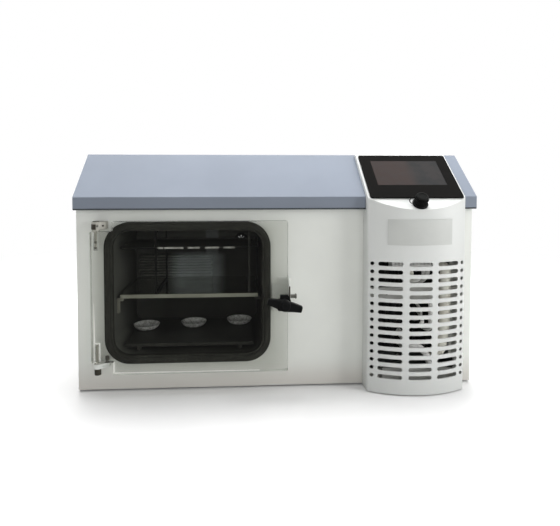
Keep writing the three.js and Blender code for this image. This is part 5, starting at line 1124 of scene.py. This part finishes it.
ring = [(0.75, -0.1), (1.25, -0.1), (1.25, 0.12), (0.75, 0.12), (0.75, -0.1)]
piece("mark_off", lathe(ring, (middle.x, high.y, low.z + 2.2), Y, 32), INK)
piece("side_filter", block((SIDE_FACE - 6.6, 32, 152), (SIDE_FACE - 4.4, 184, 228)), FOAM)

# ---------- seen through the vents
CONDENSER_LOW = span("condenser")[0]
BAY_FRONT = PANEL_Y - 20  # front of what stands in the bay, behind the cover
BAY_LEFT, BAY_RIGHT = 196, 392
SHEET = 1.8


def cross_rail(low, high, left, right):
    """Sheet rail in front of the condenser, folded back at both ends and along its edges."""
    middle = (low + high) / 2
    web = block((left, BAY_FRONT, low), (right, BAY_FRONT + SHEET, high), 0.3)
    lips = [block((left + 4, BAY_FRONT + 0.5, z), (right - 4, BAY_FRONT + 9, z + SHEET), 0.3)
            for z in (low, high - SHEET)]
    legs = [block((x, BAY_FRONT, low + 3), (x + SHEET, CONDENSER_LOW.y + 14, high - 3), 0.3)
            for x in (left, right - SHEET)]
    holes = [rod((x, BAY_FRONT - 1, middle), (x, BAY_FRONT + 3, middle), 3.2)
             for x in (left + part * (right - left) for part in (0.2, 0.38, 0.66, 0.84))]
    return cut(join(web, *lips, *legs), *holes)


def wiring_duct():
    """Slotted duct above the condenser."""
    front, back, left, right, low, high = BAY_FRONT - 6, BAY_FRONT + 22, 244, 338, 263, 283
    walls = block((left, front, low), (right, back, high), 0.6)
    inside = block((left + 1.5, front + 1.5, low + 1.5), (right - 1.5, back - 1.5, high + 5))
    slots = [block((x, front - 1, low + 9), (x + 2.4, front + 2, high + 2)) for x in range(left + 6, left + 94, 8)]
    return cut(walls, inside, together(*slots))


piece("cross_rail", cross_rail(195, 222, BAY_LEFT, BAY_RIGHT), GREY)
piece("low_rail", cross_rail(14, 44, 226, 372), GREY)
piece("wiring_duct", wiring_duct(), DUCT)
piece("side_flange", together(block((384.5, PANEL_Y + 5.5, 60), (394, PANEL_Y + 7.3, 282), 0.3),
                              block((392.2, PANEL_Y - 20, 60), (394, PANEL_Y + 5.6, 282), 0.3)), WHITE)
LINES = (  # name, radius, finish, and a route of points across, out from the bay's front and up
    ("insulated_pipe", 11.5, CREAM, (346, -44, 276), (352, -20, 274), (361, 4, 262), (362, 6, 240),
     (362, 6, 180), (360, 6, 130), (355, 7, 100), (351, 4, 82), (346, -12, 68), (344, -44, 62)),
    ("white_line", 7, DUCT, (276, -44, 112), (278, -16, 106), (284, 8, 99), (300, 13, 95), (314, 13, 84),
     (324, 13, 68), (332, 10, 54), (338, -10, 48), (342, -40, 46)),
    ("grey_line", 4.5, DUCT, (332, -44, 120), (331, -16, 124), (331, 3, 134), (331, 4, 160), (331, 3, 184),
     (332, -14, 200), (334, -44, 204)),
    ("line_1", 4.5, CREAM, (284, -6, 268), (285, 7, 260), (287, 6, 250), (290, -14, 240), (292, -44, 236)),
    ("line_2", 5, GREY, (323, -6, 268), (322, 7, 259), (318, 9, 248), (310, 8, 238), (302, -6, 230),
     (300, -44, 226)),
    ("line_3", 4, DUCT, (312, -10, 268), (314, 3, 258), (312, 5, 246), (300, 4, 238), (290, -10, 233),
     (286, -44, 230)),
    ("line_4", 3, GREY, (300, -44, 188), (304, -14, 184), (309, 2, 172), (309, 2, 158), (304, -14, 146),
     (300, -44, 142)),
    ("line_5", 4, DUCT, (318, -44, 160), (316, -12, 154), (312, 6, 146), (304, 6, 138), (298, -12, 132),
     (296, -44, 128)),
    ("line_6", 4, GREY, (272, -44, 88), (274, -12, 86), (276, 4, 80), (277, 4, 66), (276, -12, 58), (274, -44, 56)))
for name, radius, look, *route in LINES:
    piece(name, tube([(x, BAY_FRONT - out, z) for x, out, z in route], radius), look)

# ---------- camera
camera_data = bpy.data.cameras.new("camera")
camera = bpy.data.objects.new("camera", camera_data)
collection.objects.link(camera)
bpy.context.scene.camera = camera
camera.location = (-0.09073, -1.3244, 0.46058)
camera.rotation_euler = (radians(90 - 2.354), 0, radians(-3.551))
camera_data.sensor_width = 36
camera_data.lens = 32.14
camera_data.shift_x = 0.0214
camera_data.shift_y = -0.1153
camera_data.clip_start = 0.01


# ---------- stage and light
AMBIENT = 0.3  # of the plain world, for diffuse light
FRONT_GLOSS = 0.06  # of what lies in front, as seen in reflections
FLOOR_REACH, FLOOR_FADE = 20, (0.9, 2.2)  # in metres
WHITE_LIGHT = (1, 1, 1, 1)


def ray_shares(n):
    """1 for rays straight from the camera, and 1 for rays from a mirror."""
    ray = n.new("LightPath").outputs
    bounced = n.math("MINIMUM", ray["Glossy Depth"], 1)
    straight = n.math("MAXIMUM", ray["Is Camera Ray"], ray["Is Transmission Ray"])
    return (n.times(straight, n.math("SUBTRACT", 1, bounced)),
            n.times(bounced, n.math("SUBTRACT", 1, ray["Is Diffuse Ray"])))


def floor_finish():
    """Pale matt floor that turns plain white away from the object, and is dim in front for reflections."""
    n = Look("floor")
    n.feed(n.shader, Roughness=0.9, Specular_IOR_Level=0.1,
           Base_Color=n.mix(n.cloud(120), (244, 244, 244), (247, 247, 247)))
    distance = n.new("VectorMath", operation="LENGTH")
    n.fill(distance, n.coords["Object"])
    far = n.range(distance.outputs["Value"], *FLOOR_FADE, smooth=True)
    seen = n.blend(far, n.shader.outputs[0], n.feed(n.new("Emission"), Color=WHITE_LIGHT))
    dim = n.feed(n.new("BsdfDiffuse"), Color=(196, 196, 194))
    glow = n.feed(n.new("Emission"), Strength=n.along("Y", -500, 600, FRONT_GLOSS, 1, smooth=True))
    direct, mirrored = ray_shares(n)
    return n.show(n.blend(direct, n.blend(mirrored, dim, glow), seen))


def world_light(n):
    """White to the camera, plain and dimmer for diffuse light, and dim in front for reflections."""
    direct, mirrored = ray_shares(n)
    depth = n.range(n.split(n.coords["Generated"])["Y"], -0.95, -0.3, FRONT_GLOSS, smooth=True)
    strength = n.mix(direct, n.mix(mirrored, AMBIENT, depth, "FLOAT"), 1, "FLOAT")
    n.feed(n.tree.nodes["Background"], Color=WHITE_LIGHT, Strength=strength)


floor_mesh = bpy.data.meshes.new("floor")
corners = [(x * FLOOR_REACH, y * FLOOR_REACH, 0) for x, y in ((-1, -1), (1, -1), (1, 1), (-1, 1))]
floor_mesh.from_pydata(corners, [], [(0, 1, 2, 3)])
floor_mesh.materials.append(floor_finish())
floor = bpy.data.objects.new("floor", floor_mesh)
collection.objects.link(floor)

world = bpy.data.worlds.new("world")
bpy.context.scene.world = world
world.use_nodes = True
world_light(Nodes(world.node_tree))


def area_light(name, place, target, size, power, glossy=True):
    data = bpy.data.lights.new(name, "AREA")
    data.shape, data.size, data.size_y, data.energy = "RECTANGLE", size[0], size[1], power
    light = bpy.data.objects.new(name, data)
    collection.objects.link(light)
    light.location = place
    light.visible_camera = False
    light.visible_glossy = light.visible_transmission = glossy
    light.rotation_euler = (Vector(target) - Vector(place)).to_track_quat("-Z", "Y").to_euler()


area_light("overhead softbox", (0, 0.6, 2.4), (0, 0, 0.3), (2.6, 2), 122, glossy=False)
area_light("front fill", (-0.1, -3.2, 0.9), (0, -0.25, 0.25), (2.6, 1.4), 18, glossy=False)
area_light("right softbox", (1.5, -1, 0.7), (0.3, -0.28, 0.2), (0.7, 1.2), 12.5)
area_light("left softbox", (-3.4, -0.9, 1.2), (0.2, -0.25, 0.25), (2, 2), 7)

bpy.context.scene.view_settings.view_transform = "Standard"
